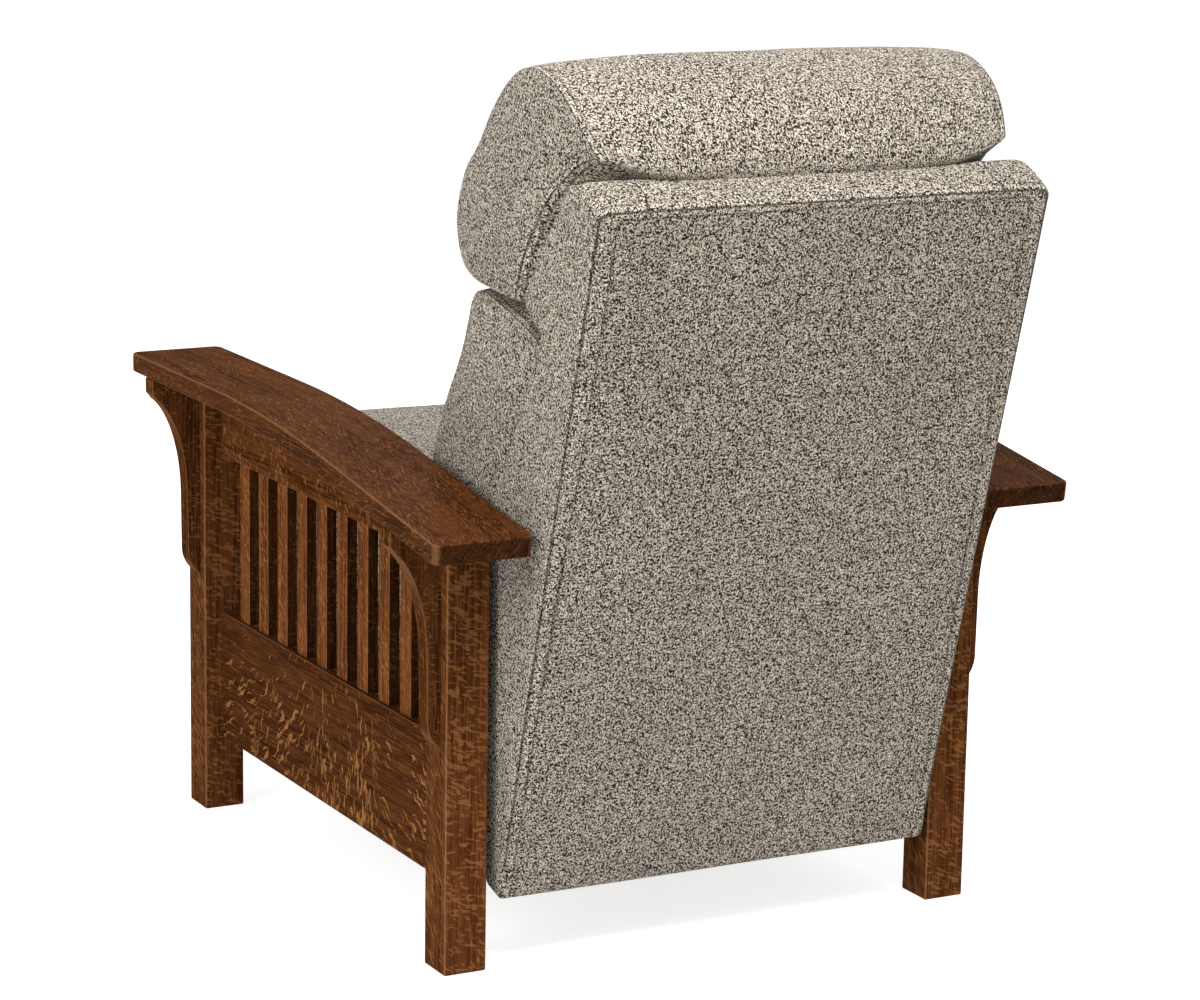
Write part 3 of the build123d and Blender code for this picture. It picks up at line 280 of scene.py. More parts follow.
def stuffed_roll(name, profile, length, half, place, shape, seed, inset=0.0, sag=0.0, fold=None):
    """A stuffed piece with a seamed panel at each end. Across the chair its profile swells by a crown
    that is one minus the fourth power of the share of the way to the seam. Past the seam the profile
    shrinks to a point while the panel bulges by one minus the square of its share. The inset draws a
    place of the profile towards the middle, in step with its distance from there, and the sag lowers it
    away from the ends. Behind a fold line each end panel turns in by nine tenths of the way past it."""
    middle = profile.mean(0)
    outward = profile - middle
    reach = np.linalg.norm(outward, axis=1).mean()
    outward /= np.linalg.norm(outward, axis=1, keepdims=True)
    across = np.sin(np.linspace(-math.pi / 2, math.pi / 2, ROLL_STEPS + 1))
    across = (1 - EVENNESS) * across + EVENNESS * np.linspace(-1, 1, ROLL_STEPS + 1)
    grow = 1 + shape.crown * (1 - across**4) - PINCH * near(np.abs(across), 1.0, PINCH_WIDTH)
    end_x = half + shape.bulge * (1 - END_SHARES**2) + SEAM_LIFT
    xs = np.concatenate([-end_x[::-1], across * half, end_x])
    grows = np.concatenate([END_SHARES[::-1], grow, END_SHARES])
    rows, columns = len(xs), len(profile)
    inset = np.broadcast_to(inset, (columns,))
    ends_inset = inset.mean() + (inset - inset.mean()) * np.minimum(grows, 1)[:, None]
    wide = xs[:, None] * (1 - ends_inset / half)
    flat = middle + (profile[None] - middle) * grows[:, None, None]
    inner = np.clip(1 - (np.abs(xs) / half) ** 4, 0, 1)[:, None]
    flat[..., 1] -= np.broadcast_to(sag, (columns,)) * inner
    past_fold = np.full(flat.shape[:2], NOT_FOLDED)
    if fold is not None:
        past_fold = np.interp(flat[..., 1], *np.transpose(fold)) - flat[..., 0]
        turned = FOLD_SOFTNESS * np.logaddexp(0, past_fold / FOLD_SOFTNESS) * FOLD_SHARE
        turned *= np.clip((np.abs(xs[:, None]) - half + FOLD_REACH) / FOLD_REACH, 0, 1) ** 2
        wide = np.sign(wide) * (np.abs(wide) - turned)
    loose = np.clip(1 - (np.abs(xs) / half) ** 6, 0, 1)[:, None] * shape.slack
    points = place(wide, flat)
    waves = (soft_noise(points, WAVE_LONG, seed) + 0.5 * soft_noise(points, WAVE_SHORT, seed + 1)) * loose
    flat = flat + outward[None] * waves[..., None]
    points = place(wide, flat).reshape(-1, 3)
    tip = (xs[-1] + TIP_LIFT) * (1 - inset.mean() / half)
    poles = place(np.array([-tip, tip]), np.stack([middle, middle]))
    points = np.vstack([points, poles])
    numbers = np.arange(rows * columns).reshape(rows, columns)
    numbers = np.hstack([numbers, numbers[:, :1]])
    ends = len(END_SHARES)
    run = np.linspace(0, length, columns + 1) * MM
    body_rows = slice(ends, rows - ends)
    body_cloth = np.stack(np.broadcast_arrays(xs[body_rows, None] * MM, run[None]), -1)
    wrapped = np.concatenate([flat, flat[:, :1]], 1) * MM
    low, high = slice(0, ends + 1), slice(rows - ends - 1, rows)
    pole_row = np.full((1, columns + 1), rows * columns)
    pole_cloth = np.broadcast_to(middle * MM, (1, columns + 1, 2))
    patches = [
        (numbers[body_rows], body_cloth),
        (np.vstack([pole_row, numbers[low]]), np.concatenate([pole_cloth, wrapped[low]])),
        (np.vstack([numbers[high], pole_row + 1]), np.concatenate([wrapped[high], pole_cloth])),
    ]
    past = np.abs(xs) > half
    gap = np.where(past, -(1 - np.abs(grows)) * reach, half - np.abs(xs))
    gap = np.maximum(gap[:, None], past_fold)
    seams = np.concatenate([gap.ravel(), [-reach, -reach]])
    made = make_object(name, points, patches, seams)
    held = np.clip(1 - np.abs(seams) / SEAM_HOLD, 0, 1)
    blow_up(made, held, shape.swell)
    return made


def blow_up(made, held, swell):
    """Blows a cover up like a cushion. All of it starts smaller than it should be, by the swell along
    its normals. Then it grows under an even inner pressure in Blender's cloth for twenty frames, the less
    the nearer it lies to a seam. A point keeps its way smoothly up to a cap of three times the swell."""
    count = len(made.data.vertices)
    before, normals = np.zeros(count * 3), np.zeros(count * 3)
    made.data.vertices.foreach_get("co", before)
    made.data.vertex_normals.foreach_get("vector", normals)
    start = before.reshape(-1, 3) - normals.reshape(-1, 3) * (swell * MM)
    made.data.vertices.foreach_set("co", start.ravel())
    seam_hold = made.vertex_groups.new(name="seam_hold")
    for hold in np.unique(held[held > LEAST_HOLD]):
        seam_hold.add(np.flatnonzero(held == hold).tolist(), float(hold), "REPLACE")
    cloth = made.modifiers.new("Cloth", "CLOTH")
    cloth.settings.quality = 5
    cloth.settings.mass = CLOTH_MASS
    cloth.settings.use_pressure = True
    cloth.settings.uniform_pressure_force = PRESSURE
    cloth.settings.effector_weights.gravity = 0.0
    cloth.settings.vertex_group_mass = "seam_hold"
    cloth.settings.pin_stiffness = 1.0
    cloth.point_cache.frame_end = GROW_FRAMES
    scene = bpy.context.scene
    for step in range(1, GROW_FRAMES + 1):
        scene.frame_set(step)
    grown = made.evaluated_get(bpy.context.evaluated_depsgraph_get()).to_mesh()
    after = np.zeros(count * 3)
    grown.vertices.foreach_get("co", after)
    made.modifiers.remove(cloth)
    made.vertex_groups.remove(seam_hold)
    scene.frame_set(1)
    way = after.reshape(-1, 3) - start
    length = np.linalg.norm(way, axis=1, keepdims=True) + 1e-9
    cap = CAP_SHARE * swell * MM
    ended = start + way / length * cap * np.tanh(length / cap)
    made.data.vertices.foreach_set("co", ended.ravel())
    made.data.update()


def box_shell(counts):
    """The surface of a block of cells: its points as shares of the block, and one grid of point
    numbers per side, in the order low and high of each axis."""
    nx, ny, nz = counts
    i, j, k = np.meshgrid(np.arange(nx + 1), np.arange(ny + 1), np.arange(nz + 1), indexing="ij")
    numbers = (i * (ny + 1) + j) * (nz + 1) + k
    sides = [numbers[0], numbers[-1], numbers[:, 0], numbers[:, -1], numbers[:, :, 0], numbers[:, :, -1]]
    used, packed = np.unique(np.concatenate([s.ravel() for s in sides]), return_inverse=True)
    sizes = np.cumsum([s.size for s in sides])[:-1]
    grids = [part.reshape(s.shape) for part, s in zip(np.split(packed, sizes), sides)]
    turned = [0, 3, 4]
    grids = [g.T if index in turned else g for index, g in enumerate(grids)]
    shares = np.stack([i.ravel()[used] / nx, j.ravel()[used] / ny, k.ravel()[used] / nz], -1)
    return shares, grids


def wrapped_block(name, points, grids, pairs, seams=None):
    """A block of cloth from its surface grids, with one pair of cloth coordinates for each side. Where
    no seams are given it has none."""
    patches = [(grid, np.stack(pair, -1)[grid]) for grid, pair in zip(grids, pairs)]
    return make_object(name, points, patches, np.full(len(points), NO_SEAM) if seams is None else seams)


def slab(name, low, high, cells):
    """A thin block of cloth between two corners: each point is the low corner plus its share of the
    way to the high one."""
    shares, grids = box_shell(cells)
    low, high = np.array(low, float), np.array(high, float)
    points = low + shares * (high - low)
    x, y, z = points.T
    return wrapped_block(name, points, grids, ((y, z), (y, z), (x, z), (x, z), (x, y), (x, y)))


# Node trees

def shader_tree(name):
    """A new material and its empty tree."""
    material = bpy.data.materials.new(name)
    material.use_nodes = True
    tree = material.node_tree
    tree.nodes.clear()
    return material, tree


def node(tree, kind, inputs=(), **settings):
    """Adds a node, sets its settings, and joins or sets its inputs by name or number."""
    made = tree.nodes.new(kind)
    for key, value in settings.items():
        setattr(made, key, value)
    for key, value in dict(inputs).items():
        socket = made.inputs[key]
        if isinstance(value, bpy.types.NodeSocket):
            tree.links.new(value, socket)
        else:
            socket.default_value = value
    return made


def sum_of(tree, operation, *terms, clamp=False):
    """A math node's result."""
    made = node(tree, "ShaderNodeMath", dict(enumerate(terms)), operation=operation, use_clamp=clamp)
    return made.outputs[0]


def stepped(tree, value, low, high, start=0.0, end=1.0):
    """A value taken smoothly from start at low to end at high."""
    made = node(
        tree, "ShaderNodeMapRange", {0: value, 1: low, 2: high, 3: start, 4: end},
        interpolation_type="SMOOTHSTEP",
    )
    return made.outputs[0]


def blended(tree, factor, one, other):
    """A colour between two, by a factor."""
    return node(tree, "ShaderNodeMix", {0: factor, 6: one, 7: other}, data_type="RGBA").outputs[2]


def stretched(tree, place, scale, turn=(0, 0, 0), move=(0, 0, 0)):
    """Coordinates stretched by a scale, one for all axes or one for each, turned and moved."""
    scale = (scale,) * 3 if np.isscalar(scale) else scale
    inputs = {"Vector": place, "Location": move, "Rotation": turn, "Scale": scale}
    return node(tree, "ShaderNodeMapping", inputs).outputs[0]


def grain_noise(tree, place, scale=None, detail=1.0, rough=0.5):
    """Noise read at a place, stretched by a scale if one is given."""
    spot = place if scale is None else stretched(tree, place, scale)
    inputs = {"Vector": spot, "Scale": 1.0, "Detail": detail, "Roughness": rough}
    return node(tree, "ShaderNodeTexNoise", inputs).outputs["Fac"]


def principled(tree, inputs):
    """The material's shader, joined to its output."""
    shader = node(tree, "ShaderNodeBsdfPrincipled", inputs)
    node(tree, "ShaderNodeOutputMaterial", {0: shader.outputs[0]})


def seen_directly(tree):
    """One for rays that show a surface to the camera, also in a gloss or through a clear piece."""
    path = node(tree, "ShaderNodeLightPath")
    seen = sum_of(tree, "MAXIMUM", path.outputs["Is Camera Ray"], path.outputs["Is Glossy Ray"])
    return sum_of(tree, "MAXIMUM", seen, path.outputs["Is Transmission Ray"])


def colour(rgb):
    """A colour with full cover."""
    return (rgb[0], rgb[1], rgb[2], 1.0)


def absolute(tree, value):
    """A value without its sign."""
    return sum_of(tree, "ABSOLUTE", value)


def product(tree, *values):
    """The values multiplied together."""
    total = values[0]
    for value in values[1:]:
        total = sum_of(tree, "MULTIPLY", total, value)
    return total


def oak_rays(tree, coords, figure):
    """How much of a pale ray lies at a place. The place is turned so that one number runs across the
    rays, and noise that changes fast with it and slowly along the rays is cut at a level. Each lean has
    its own stretch of the board, and fades at its ends; a wave from slower noise makes the rays curl."""
    spot = node(tree, "ShaderNodeSeparateXYZ", {0: stretched(tree, coords, 1, move=figure["move"])})
    axes = dict(zip("xyz", spot.outputs))
    along, up, deep = (axes[name] for name in figure["axes"])
    ripple = grain_noise(tree, coords, 75)
    ripple = product(tree, ripple, figure["wave"])
    crowd = grain_noise(tree, coords, 14)
    level = stepped(tree, crowd, 0.35, 0.65, figure["level"] + 0.07, figure["level"])
    if figure.get("low"):
        level = sum_of(tree, "ADD", level, stepped(tree, up, *figure["low"], 0.0, 0.12))
    fast, slow = 1 / figure["wide"], 1 / figure["long"]
    found = None
    for number, (lean, start, stop) in enumerate(figure["leans"]):
        across = sum_of(
            tree, "MULTIPLY_ADD", along, math.cos(lean),
            sum_of(tree, "MULTIPLY_ADD", up, math.sin(lean), ripple))
        length = sum_of(
            tree, "MULTIPLY_ADD", along, -math.sin(lean), product(tree, up, math.cos(lean)))
        leant = sum_of(tree, "ADD", across, product(tree, deep, 0.8))
        place = node(
            tree, "ShaderNodeCombineXYZ",
            {0: product(tree, leant, fast), 1: product(tree, length, slow),
             2: sum_of(tree, "MULTIPLY_ADD", deep, slow, 3.0 * number)})
        blobs = grain_noise(tree, place.outputs[0])
        ray = stepped(tree, sum_of(tree, "SUBTRACT", blobs, level), 0.0, figure["soft"])
        if len(figure["leans"]) > 1:
            begins = stepped(tree, along, start, start + RAY_FADE)
            ends = stepped(tree, along, stop - RAY_FADE, stop, 1, 0)
            ray = product(tree, ray, begins, ends)
        found = sum_of(tree, "MAXIMUM", found, ray) if found else ray
    return found


def oak_material(name, grain, figure, finish, tone=1.0, gloss=0.0, end_grain_and_shade_tone=1.0):
    """Stained quartersawn oak. Broad bands and fine fibres run with the grain, dark pores lie in them,
    and pale rays cross them. Where a face turns over an edge a highlight is painted in, for the light that
    the eased edges catch: there twice the sideways part of the normal times the rest of it comes near to one."""
    material, tree = shader_tree(name)
    turn = {"z": (0, math.pi / 2, 0), "y": (0, 0, -math.pi / 2), "x": (0, 0, 0)}[grain]
    texture = node(tree, "ShaderNodeTexCoord")
    coords = texture.outputs["Object"]
    along = stretched(tree, coords, 1, turn)
    wander = grain_noise(tree, along, (3.5, 11, 11))
    shift = node(tree, "ShaderNodeCombineXYZ", {1: product(tree, wander, figure["wander"])})
    board = node(tree, "ShaderNodeVectorMath", {0: along, 1: shift.outputs[0]}, operation="ADD").outputs[0]
    bands = grain_noise(tree, board, (1.6, 60, 60), 3.0, 0.55)
    fibres = grain_noise(tree, board, (16, 460, 460), 2.0, 0.6)
    pores = grain_noise(tree, board, (75, 1100, 1100))
    pore = stepped(tree, pores, 0.6, 0.7)
    ray = product(tree, oak_rays(tree, coords, figure), figure["strength"])
    band = stepped(tree, bands, 0.36, 0.64)
    body = blended(tree, band, colour(finish.stain_dark), colour(finish.stain_mid))
    body = blended(tree, stepped(tree, fibres, 0.42, 0.68), body, colour(finish.stain_light))
    body = blended(tree, product(tree, pore, 0.8), body, colour(finish.pore))
    body = blended(tree, ray, body, colour(finish.ray))
    normal = node(tree, "ShaderNodeSeparateXYZ", {0: texture.outputs["Normal"]})
    sideways = absolute(tree, normal.outputs[0])
    squared = sum_of(tree, "SUBTRACT", 1.0, product(tree, sideways, sideways), clamp=True)
    rest = sum_of(tree, "SQRT", squared)
    # Painted highlight along the eased edges, where they would catch the light
    highlit = stepped(tree, product(tree, sideways, rest, 2.0), 0.35, 0.95, 0.0, finish.highlit)
    body = blended(tree, highlit, body, colour(finish.edge))
    # Faces looking along y take this tone: darker end grain on the arms, painted shade on the slats' sides
    # deep between them
    end = stepped(tree, absolute(tree, normal.outputs[1]), 0.75, 0.95, tone, tone * end_grain_and_shade_tone)
    toned = node(tree, "ShaderNodeHueSaturation", {"Color": body, "Value": end})
    height = sum_of(tree, "SUBTRACT", product(tree, fibres, 0.35), pore)
    bump = node(tree, "ShaderNodeBump", {"Height": height, "Strength": 0.3, "Distance": 0.0003})
    rough = stepped(tree, fibres, 0.3, 0.8, finish.roughness - 0.05, finish.roughness + 0.1)
    principled(tree, {
        "Base Color": toned.outputs[0], "Roughness": rough, "Normal": bump.outputs[0],
        "Specular IOR Level": 0.0, "Coat Weight": gloss, "Coat Roughness": 0.34,
    })
    return material


def tweed_material(name, finish):
    """A tweed in the cloth's own coordinates. Its cells are yarn crossings: where column and row add up
    to an even number the upright yarn lies on top and the cell darkens to its left and right edge, else
    the level one does. Each crossing takes its colour by chance, and it is a dark slub where a noise
    read at its middle, shaken a little by chance, passes a level that a slower noise raises and lowers."""
    material, tree = shader_tree(name)
    cloth = node(tree, "ShaderNodeUVMap", uv_map="Cloth").outputs[0]
    place = stretched(tree, cloth, 1 / finish.yarn)
    bend = grain_noise(tree, cloth, 45)
    bend = product(tree, bend, 1.6)
    place = node(tree, "ShaderNodeVectorMath", {0: place, 1: bend}, operation="ADD")
    parts = node(tree, "ShaderNodeSeparateXYZ", {0: place.outputs[0]})
    x, y = parts.outputs[0], parts.outputs[1]
    column, row = sum_of(tree, "FLOOR", x), sum_of(tree, "FLOOR", y)

    def chance(seed):
        spot = node(tree, "ShaderNodeCombineXYZ", {0: column, 1: row, 2: seed})
        return node(tree, "ShaderNodeTexWhiteNoise", {0: spot.outputs[0]}).outputs["Value"]

    spot = node(tree, "ShaderNodeCombineXYZ", {0: column, 1: row})
    blot = grain_noise(tree, spot.outputs[0], 1 / finish.slub)
    blot = sum_of(tree, "MULTIPLY_ADD", chance(1.0), 0.22, blot)
    crowd = grain_noise(tree, cloth, 110)
    level = stepped(tree, crowd, 0.3, 0.7, finish.level + 0.04, finish.level - 0.04)
    slub = sum_of(tree, "GREATER_THAN", blot, level)
    ramp = node(tree, "ShaderNodeValToRGB", {0: chance(9.0)})
    stops = ((0.0, finish.taupe), (0.4, finish.beige), (0.9, finish.cream))
    ramp.color_ramp.elements.new(0.5)
    for element, (at, rgb) in zip(ramp.color_ramp.elements, stops):
        element.position = at
        element.color = colour(rgb)
    yarns = blended(tree, slub, ramp.outputs[0], colour(finish.dark))
    odd = sum_of(tree, "FLOORED_MODULO", sum_of(tree, "ADD", column, row), 2.0)
    odd = sum_of(tree, "GREATER_THAN", odd, 0.5)
    width = node(
        tree, "ShaderNodeMix", {0: odd, 2: sum_of(tree, "FRACT", x), 3: sum_of(tree, "FRACT", y)},
        data_type="FLOAT").outputs[0]
    edge = absolute(tree, sum_of(tree, "SUBTRACT", width, 0.5))
    shade = stepped(tree, edge, 0.5, 0.2, 0.12, 1.12)
    cloud = stepped(tree, grain_noise(tree, cloth, 7, 2.0), 0.3, 0.7, 0.95, 1.05)
    seam = node(tree, "ShaderNodeAttribute", attribute_name="seam").outputs["Fac"]
    off = absolute(tree, seam)
    crease = stepped(tree, off, *CREASE)
    stitch_off = absolute(tree, sum_of(tree, "SUBTRACT", seam, finish.stitch_in))
    stitch = stepped(tree, stitch_off, *STITCH)
    lip = product(tree, stepped(tree, off, *LIP_START), stepped(tree, off, *LIP_END, 1, 0))
    # Painted shade in the seam's crease and along the stitching, and a painted highlight on the raised lip
    # beside the seam
    seam_shade_and_highlight = product(
        tree, stepped(tree, crease, 0, 1, 0.35, 1), stepped(tree, stitch, 0, 1, 0.55, 1),
        stepped(tree, lip, 0, 1, 1, 1.15))
    lit = node(tree, "ShaderNodeVectorMath", {0: yarns}, operation="SCALE")
    tree.links.new(product(tree, shade, cloud, seam_shade_and_highlight), lit.inputs["Scale"])
    relief = sum_of(tree, "MULTIPLY_ADD", shade, 0.3, product(tree, stitch, 0.8))
    relief = sum_of(tree, "MULTIPLY_ADD", crease, 1.2, relief)
    bump = node(tree, "ShaderNodeBump", {"Height": relief, "Strength": 0.8, "Distance": 0.0012})
    principled(tree, {
        "Base Color": lit.outputs[0], "Roughness": 0.95, "Normal": bump.outputs[0],
        "Specular IOR Level": 0.1, "Sheen Weight": 0.06, "Sheen Roughness": 0.6,
    })
    return material


def plain_material(name, base, rough, metal=0.0, grain=900.0, spread=0.25):
    """A plain finish with a broad mottle in its colour and gloss, and a fine grain in its surface."""
    material, tree = shader_tree(name)
    coords = node(tree, "ShaderNodeTexCoord").outputs["Object"]
    fine = grain_noise(tree, coords, grain, 2.0)
    wide = grain_noise(tree, coords, 24, 3.0)
    dark = tuple(c * (1 - spread) for c in base)
    pale = tuple(min(1.0, c * (1 + spread)) for c in base)
    tint = blended(tree, stepped(tree, wide, 0.3, 0.7), colour(dark), colour(pale))
    gloss = stepped(tree, wide, 0.3, 0.7, rough * 0.85, min(1.0, rough * 1.15))
    bump = node(tree, "ShaderNodeBump", {"Height": fine, "Strength": 0.3, "Distance": 0.0002})
    principled(tree, {
        "Base Color": tint, "Roughness": gloss, "Metallic": metal, "Normal": bump.outputs[0],
    })
    return material


def cloth_of(slot):
    """The tweed or the dark lining, made when it is first asked for."""
    name = f"{slot}_cloth"
    if name in bpy.data.materials:
        return bpy.data.materials[name]
    if slot == "tweed":
        return tweed_material(name, bpy.context.scene.recliner_tweed)
    return plain_material(name, (0.05, 0.045, 0.04), 0.95, grain=1500.0)


# Settings that a user would change

COLOUR = {"subtype": "COLOR", "size": 3, "min": 0, "max": 1}
SHARE = {"subtype": "FACTOR", "min": 0, "max": 1}
CROWN = {"subtype": "FACTOR", "min": 0, "max": 0.3}
LENGTH = {"subtype": "DISTANCE", "unit": "LENGTH"}
WATTS = {"unit": "POWER", "min": 0, "max": 2000}


class OakFinish(bpy.types.PropertyGroup):
    """Stain and lacquer of the oak, with the highlight painted on its eased edges."""
    stain_dark: bpy.props.FloatVectorProperty(
        name="Dark stain", description="Colour of the late wood", default=(0.052, 0.0155, 0.0042), **COLOUR)
    stain_mid: bpy.props.FloatVectorProperty(
        name="Stain", description="Colour of the early wood", default=(0.108, 0.0355, 0.0105), **COLOUR)
    stain_light: bpy.props.FloatVectorProperty(
        name="Light stain", description="Colour of the palest fibres",
        default=(0.175, 0.062, 0.019), **COLOUR)
    pore: bpy.props.FloatVectorProperty(
        name="Pores", description="Colour in the open pores", default=(0.02, 0.0065, 0.0022), **COLOUR)
    ray: bpy.props.FloatVectorProperty(
        name="Ray flecks", description="Colour of the pale rays", default=(0.43, 0.19, 0.06), **COLOUR)
    # Painted highlight: the colour of the light that the eased edges catch, and how strongly it is painted
    edge: bpy.props.FloatVectorProperty(
        name="Highlighted edges", description="Colour where the stain is thin on the edges",
        default=(0.3, 0.135, 0.065), **COLOUR)
    highlit: bpy.props.FloatProperty(
        name="Highlighting", description="How far the edges are rubbed", default=0.6, **SHARE)
    roughness: bpy.props.FloatProperty(
        name="Roughness", description="Roughness of the lacquer", default=0.42, **SHARE)


class TweedFinish(bpy.types.PropertyGroup):
    """Yarns of the tweed."""
    cream: bpy.props.FloatVectorProperty(
        name="Cream yarn", description="Palest yarn", default=(0.95, 0.87, 0.74), **COLOUR)
    beige: bpy.props.FloatVectorProperty(
        name="Beige yarn", description="Commonest yarn", default=(0.46, 0.395, 0.312), **COLOUR)
    taupe: bpy.props.FloatVectorProperty(
        name="Taupe yarn", description="Middle yarn", default=(0.13, 0.1, 0.07), **COLOUR)
    dark: bpy.props.FloatVectorProperty(
        name="Dark slub", description="Darkest yarn", default=(0.02, 0.014, 0.009), **COLOUR)
    yarn: bpy.props.FloatProperty(
        name="Yarn pitch", description="Distance between two yarns", min=0.0005, max=0.01,
        default=0.0013, **LENGTH)
    slub: bpy.props.FloatProperty(
        name="Slub size", description="Scale of the noise that places dark slubs, in crossings",
        min=1, max=20, default=2.15)
    level: bpy.props.FloatProperty(
        name="Slub level", description="How high that noise has to be for a dark slub", default=0.66, **SHARE)
    stitch_in: bpy.props.FloatProperty(
        name="Stitch line", description="Distance of the top stitching from a seam, in millimetres",
        min=2, max=40, default=9.0)


class CushionShape(bpy.types.PropertyGroup):
    """How full the cushions are."""
    pillow_crown: bpy.props.FloatProperty(
        name="Pillow crown", description="Swell of the head pillow's middle", default=0.075, **CROWN)
    lumbar_crown: bpy.props.FloatProperty(
        name="Lumbar crown", description="Swell of the lumbar cushion's middle", default=0.035, **CROWN)
    seat_crown: bpy.props.FloatProperty(
        name="Seat crown", description="Swell of the seat cushion's middle", default=0.035, **CROWN)
    end_bulge: bpy.props.FloatProperty(
        name="End bulge", description="How far an end panel swells past its seam",
        min=0, max=0.05, default=0.010, **LENGTH)
    slack: bpy.props.FloatProperty(
        name="Slack", description="Depth of the cloth's soft waves", min=0, max=0.01,
        default=0.0022, **LENGTH)
    swell: bpy.props.FloatProperty(
        name="Swell", description="How far the cloth grows under the pressure of its filling",
        min=0, max=0.03, default=0.003, **LENGTH)


class StudioSetup(bpy.types.PropertyGroup):
    """Camera and light."""
    camera_place: bpy.props.FloatVectorProperty(
        name="Camera", description="Where the camera stands", subtype="XYZ", unit="LENGTH", size=3,
        default=(2.207, 4.120, 1.5069))
    heading: bpy.props.FloatProperty(
        name="Heading", description="Direction of view round the upright", subtype="ANGLE",
        default=math.radians(-151.863))
    pitch: bpy.props.FloatProperty(
        name="Pitch", description="Direction of view above the level", subtype="ANGLE",
        default=math.radians(-12.37))
    roll: bpy.props.FloatProperty(
        name="Roll", description="Turn about the line of view", subtype="ANGLE",
        default=math.radians(-0.987))
    lens: bpy.props.FloatProperty(
        name="Lens", description="Focal length in millimetres", unit="CAMERA", min=10, max=500,
        default=113.62)
    world_light: bpy.props.FloatProperty(
        name="Room light", description="Strength of the even light", min=0, max=5, default=0.33)
    key_light: bpy.props.FloatProperty(
        name="Top light", description="Power of the lamp overhead, in watts", default=112.0, **WATTS)
    side_light: bpy.props.FloatProperty(
        name="Side light", description="Power of the lamp at the side, in watts", default=66.0, **WATTS)
    front_light: bpy.props.FloatProperty(
        name="Front light", description="Power of the lamp in front, in watts", default=36.0, **WATTS)


# Operators, one for each piece or group of like pieces

class RECLINER_OT_studio(bpy.types.Operator):
    """Makes the camera, the lamps, the pale floor and the white room"""
    bl_idname = "recliner.studio"
    bl_label = "Studio"

    def execute(self, context):
        setup = context.scene.recliner_studio
        scene = context.scene
        scene.view_settings.view_transform = "Standard"
        camera_data = bpy.data.cameras.new("camera")
        camera_data.lens = setup.lens
        camera_data.sensor_width = 36.0
        camera_data.dof.use_dof = False
        camera = bpy.data.objects.new("camera", camera_data)
        scene.collection.objects.link(camera)
        camera.matrix_world = view_matrix(setup)
        scene.camera = camera
        self.make_world(scene, setup)
        self.make_lamp(scene, "lamp_top", (0.5, 1.6, 3.4), (0, 0.3, 0.8), 2.0, setup.key_light)
        self.make_lamp(scene, "lamp_side", (3.8, 1.0, 1.9), (0, 0.1, 0.5), 2.2, setup.side_light)
        self.make_lamp(scene, "lamp_front", (-2.4, -3.2, 2.0), (0, 0, 0.5), 2.6, setup.front_light)
        self.make_floor()
        return {"FINISHED"}

    def make_world(self, scene, setup):
        """A room that lights the chair evenly and looks white."""
        world = bpy.data.worlds.new("room")
        world.use_nodes = True
        tree = world.node_tree
        tree.nodes.clear()
        lit = node(tree, "ShaderNodeBackground", {0: (1, 1, 1, 1), 1: setup.world_light})
        white = node(tree, "ShaderNodeBackground", {0: (1, 1, 1, 1), 1: 1.0})
        inputs = {0: seen_directly(tree), 1: lit.outputs[0], 2: white.outputs[0]}
        mix = node(tree, "ShaderNodeMixShader", inputs)
        node(tree, "ShaderNodeOutputWorld", {0: mix.outputs[0]})
        scene.world = world

    def make_lamp(self, scene, name, place, target, size, power):
        """A square lamp turned to its target."""
        data = bpy.data.lights.new(name, "AREA")
        data.shape = "SQUARE"
        data.size = size
        data.energy = power
        lamp = bpy.data.objects.new(name, data)
        lamp.location = place
        aim = np.array(target, float) - np.array(place, float)
        lamp.rotation_euler = lamp_turn(aim)
        scene.collection.objects.link(lamp)

    def make_floor(self):
        """A pale floor that keeps the chair's shadow."""
        size, count, drop = 30.0, 24, 0.0005
        line = np.linspace(-size, size, count + 1)
        gx, gy = np.meshgrid(line, line, indexing="ij")
        points = np.stack([gx, gy, np.full_like(gx, -drop)], -1).reshape(-1, 3)
        numbers = np.arange(len(points)).reshape(count + 1, count + 1)
        floor = make_object("floor", points, [(numbers, np.stack([gx, gy], -1))])
        material, tree = shader_tree("floor_pale")
        coords = node(tree, "ShaderNodeTexCoord").outputs["Object"]
        mottle = grain_noise(tree, coords, 3, 3.0)
        pale = blended(tree, mottle, (0.80, 0.80, 0.80, 1), (0.82, 0.82, 0.82, 1))
        matt = node(tree, "ShaderNodeBsdfDiffuse", {0: pale})
        glow = node(tree, "ShaderNodeEmission", {0: (1, 1, 1, 1), 1: 0.78})
        both = node(tree, "ShaderNodeAddShader", {0: matt.outputs[0], 1: glow.outputs[0]})
        inputs = {0: seen_directly(tree), 1: matt.outputs[0], 2: both.outputs[0]}
        mix = node(tree, "ShaderNodeMixShader", inputs)
        node(tree, "ShaderNodeOutputMaterial", {0: mix.outputs[0]})
        floor.data.materials.append(material)


def view_matrix(setup):
    """The camera's matrix from its place, heading, pitch and roll."""
    h, p, r = setup.heading, setup.pitch, setup.roll
    ahead = np.array([math.sin(h) * math.cos(p), math.cos(h) * math.cos(p), math.sin(p)])
    right = np.cross(ahead, [0, 0, 1])
    right /= np.linalg.norm(right)
    down = np.cross(ahead, right)
    right, down = math.cos(r) * right + math.sin(r) * down, -math.sin(r) * right + math.cos(r) * down
    matrix = np.eye(4)
    matrix[:3, 0], matrix[:3, 1], matrix[:3, 2] = right, -down, -ahead
    matrix[:3, 3] = setup.camera_place
    return Matrix(matrix.tolist())


def lamp_turn(aim):
    """The turn that points a lamp along a direction."""
    return Vector(aim.tolist()).to_track_quat("-Z", "Y").to_euler()


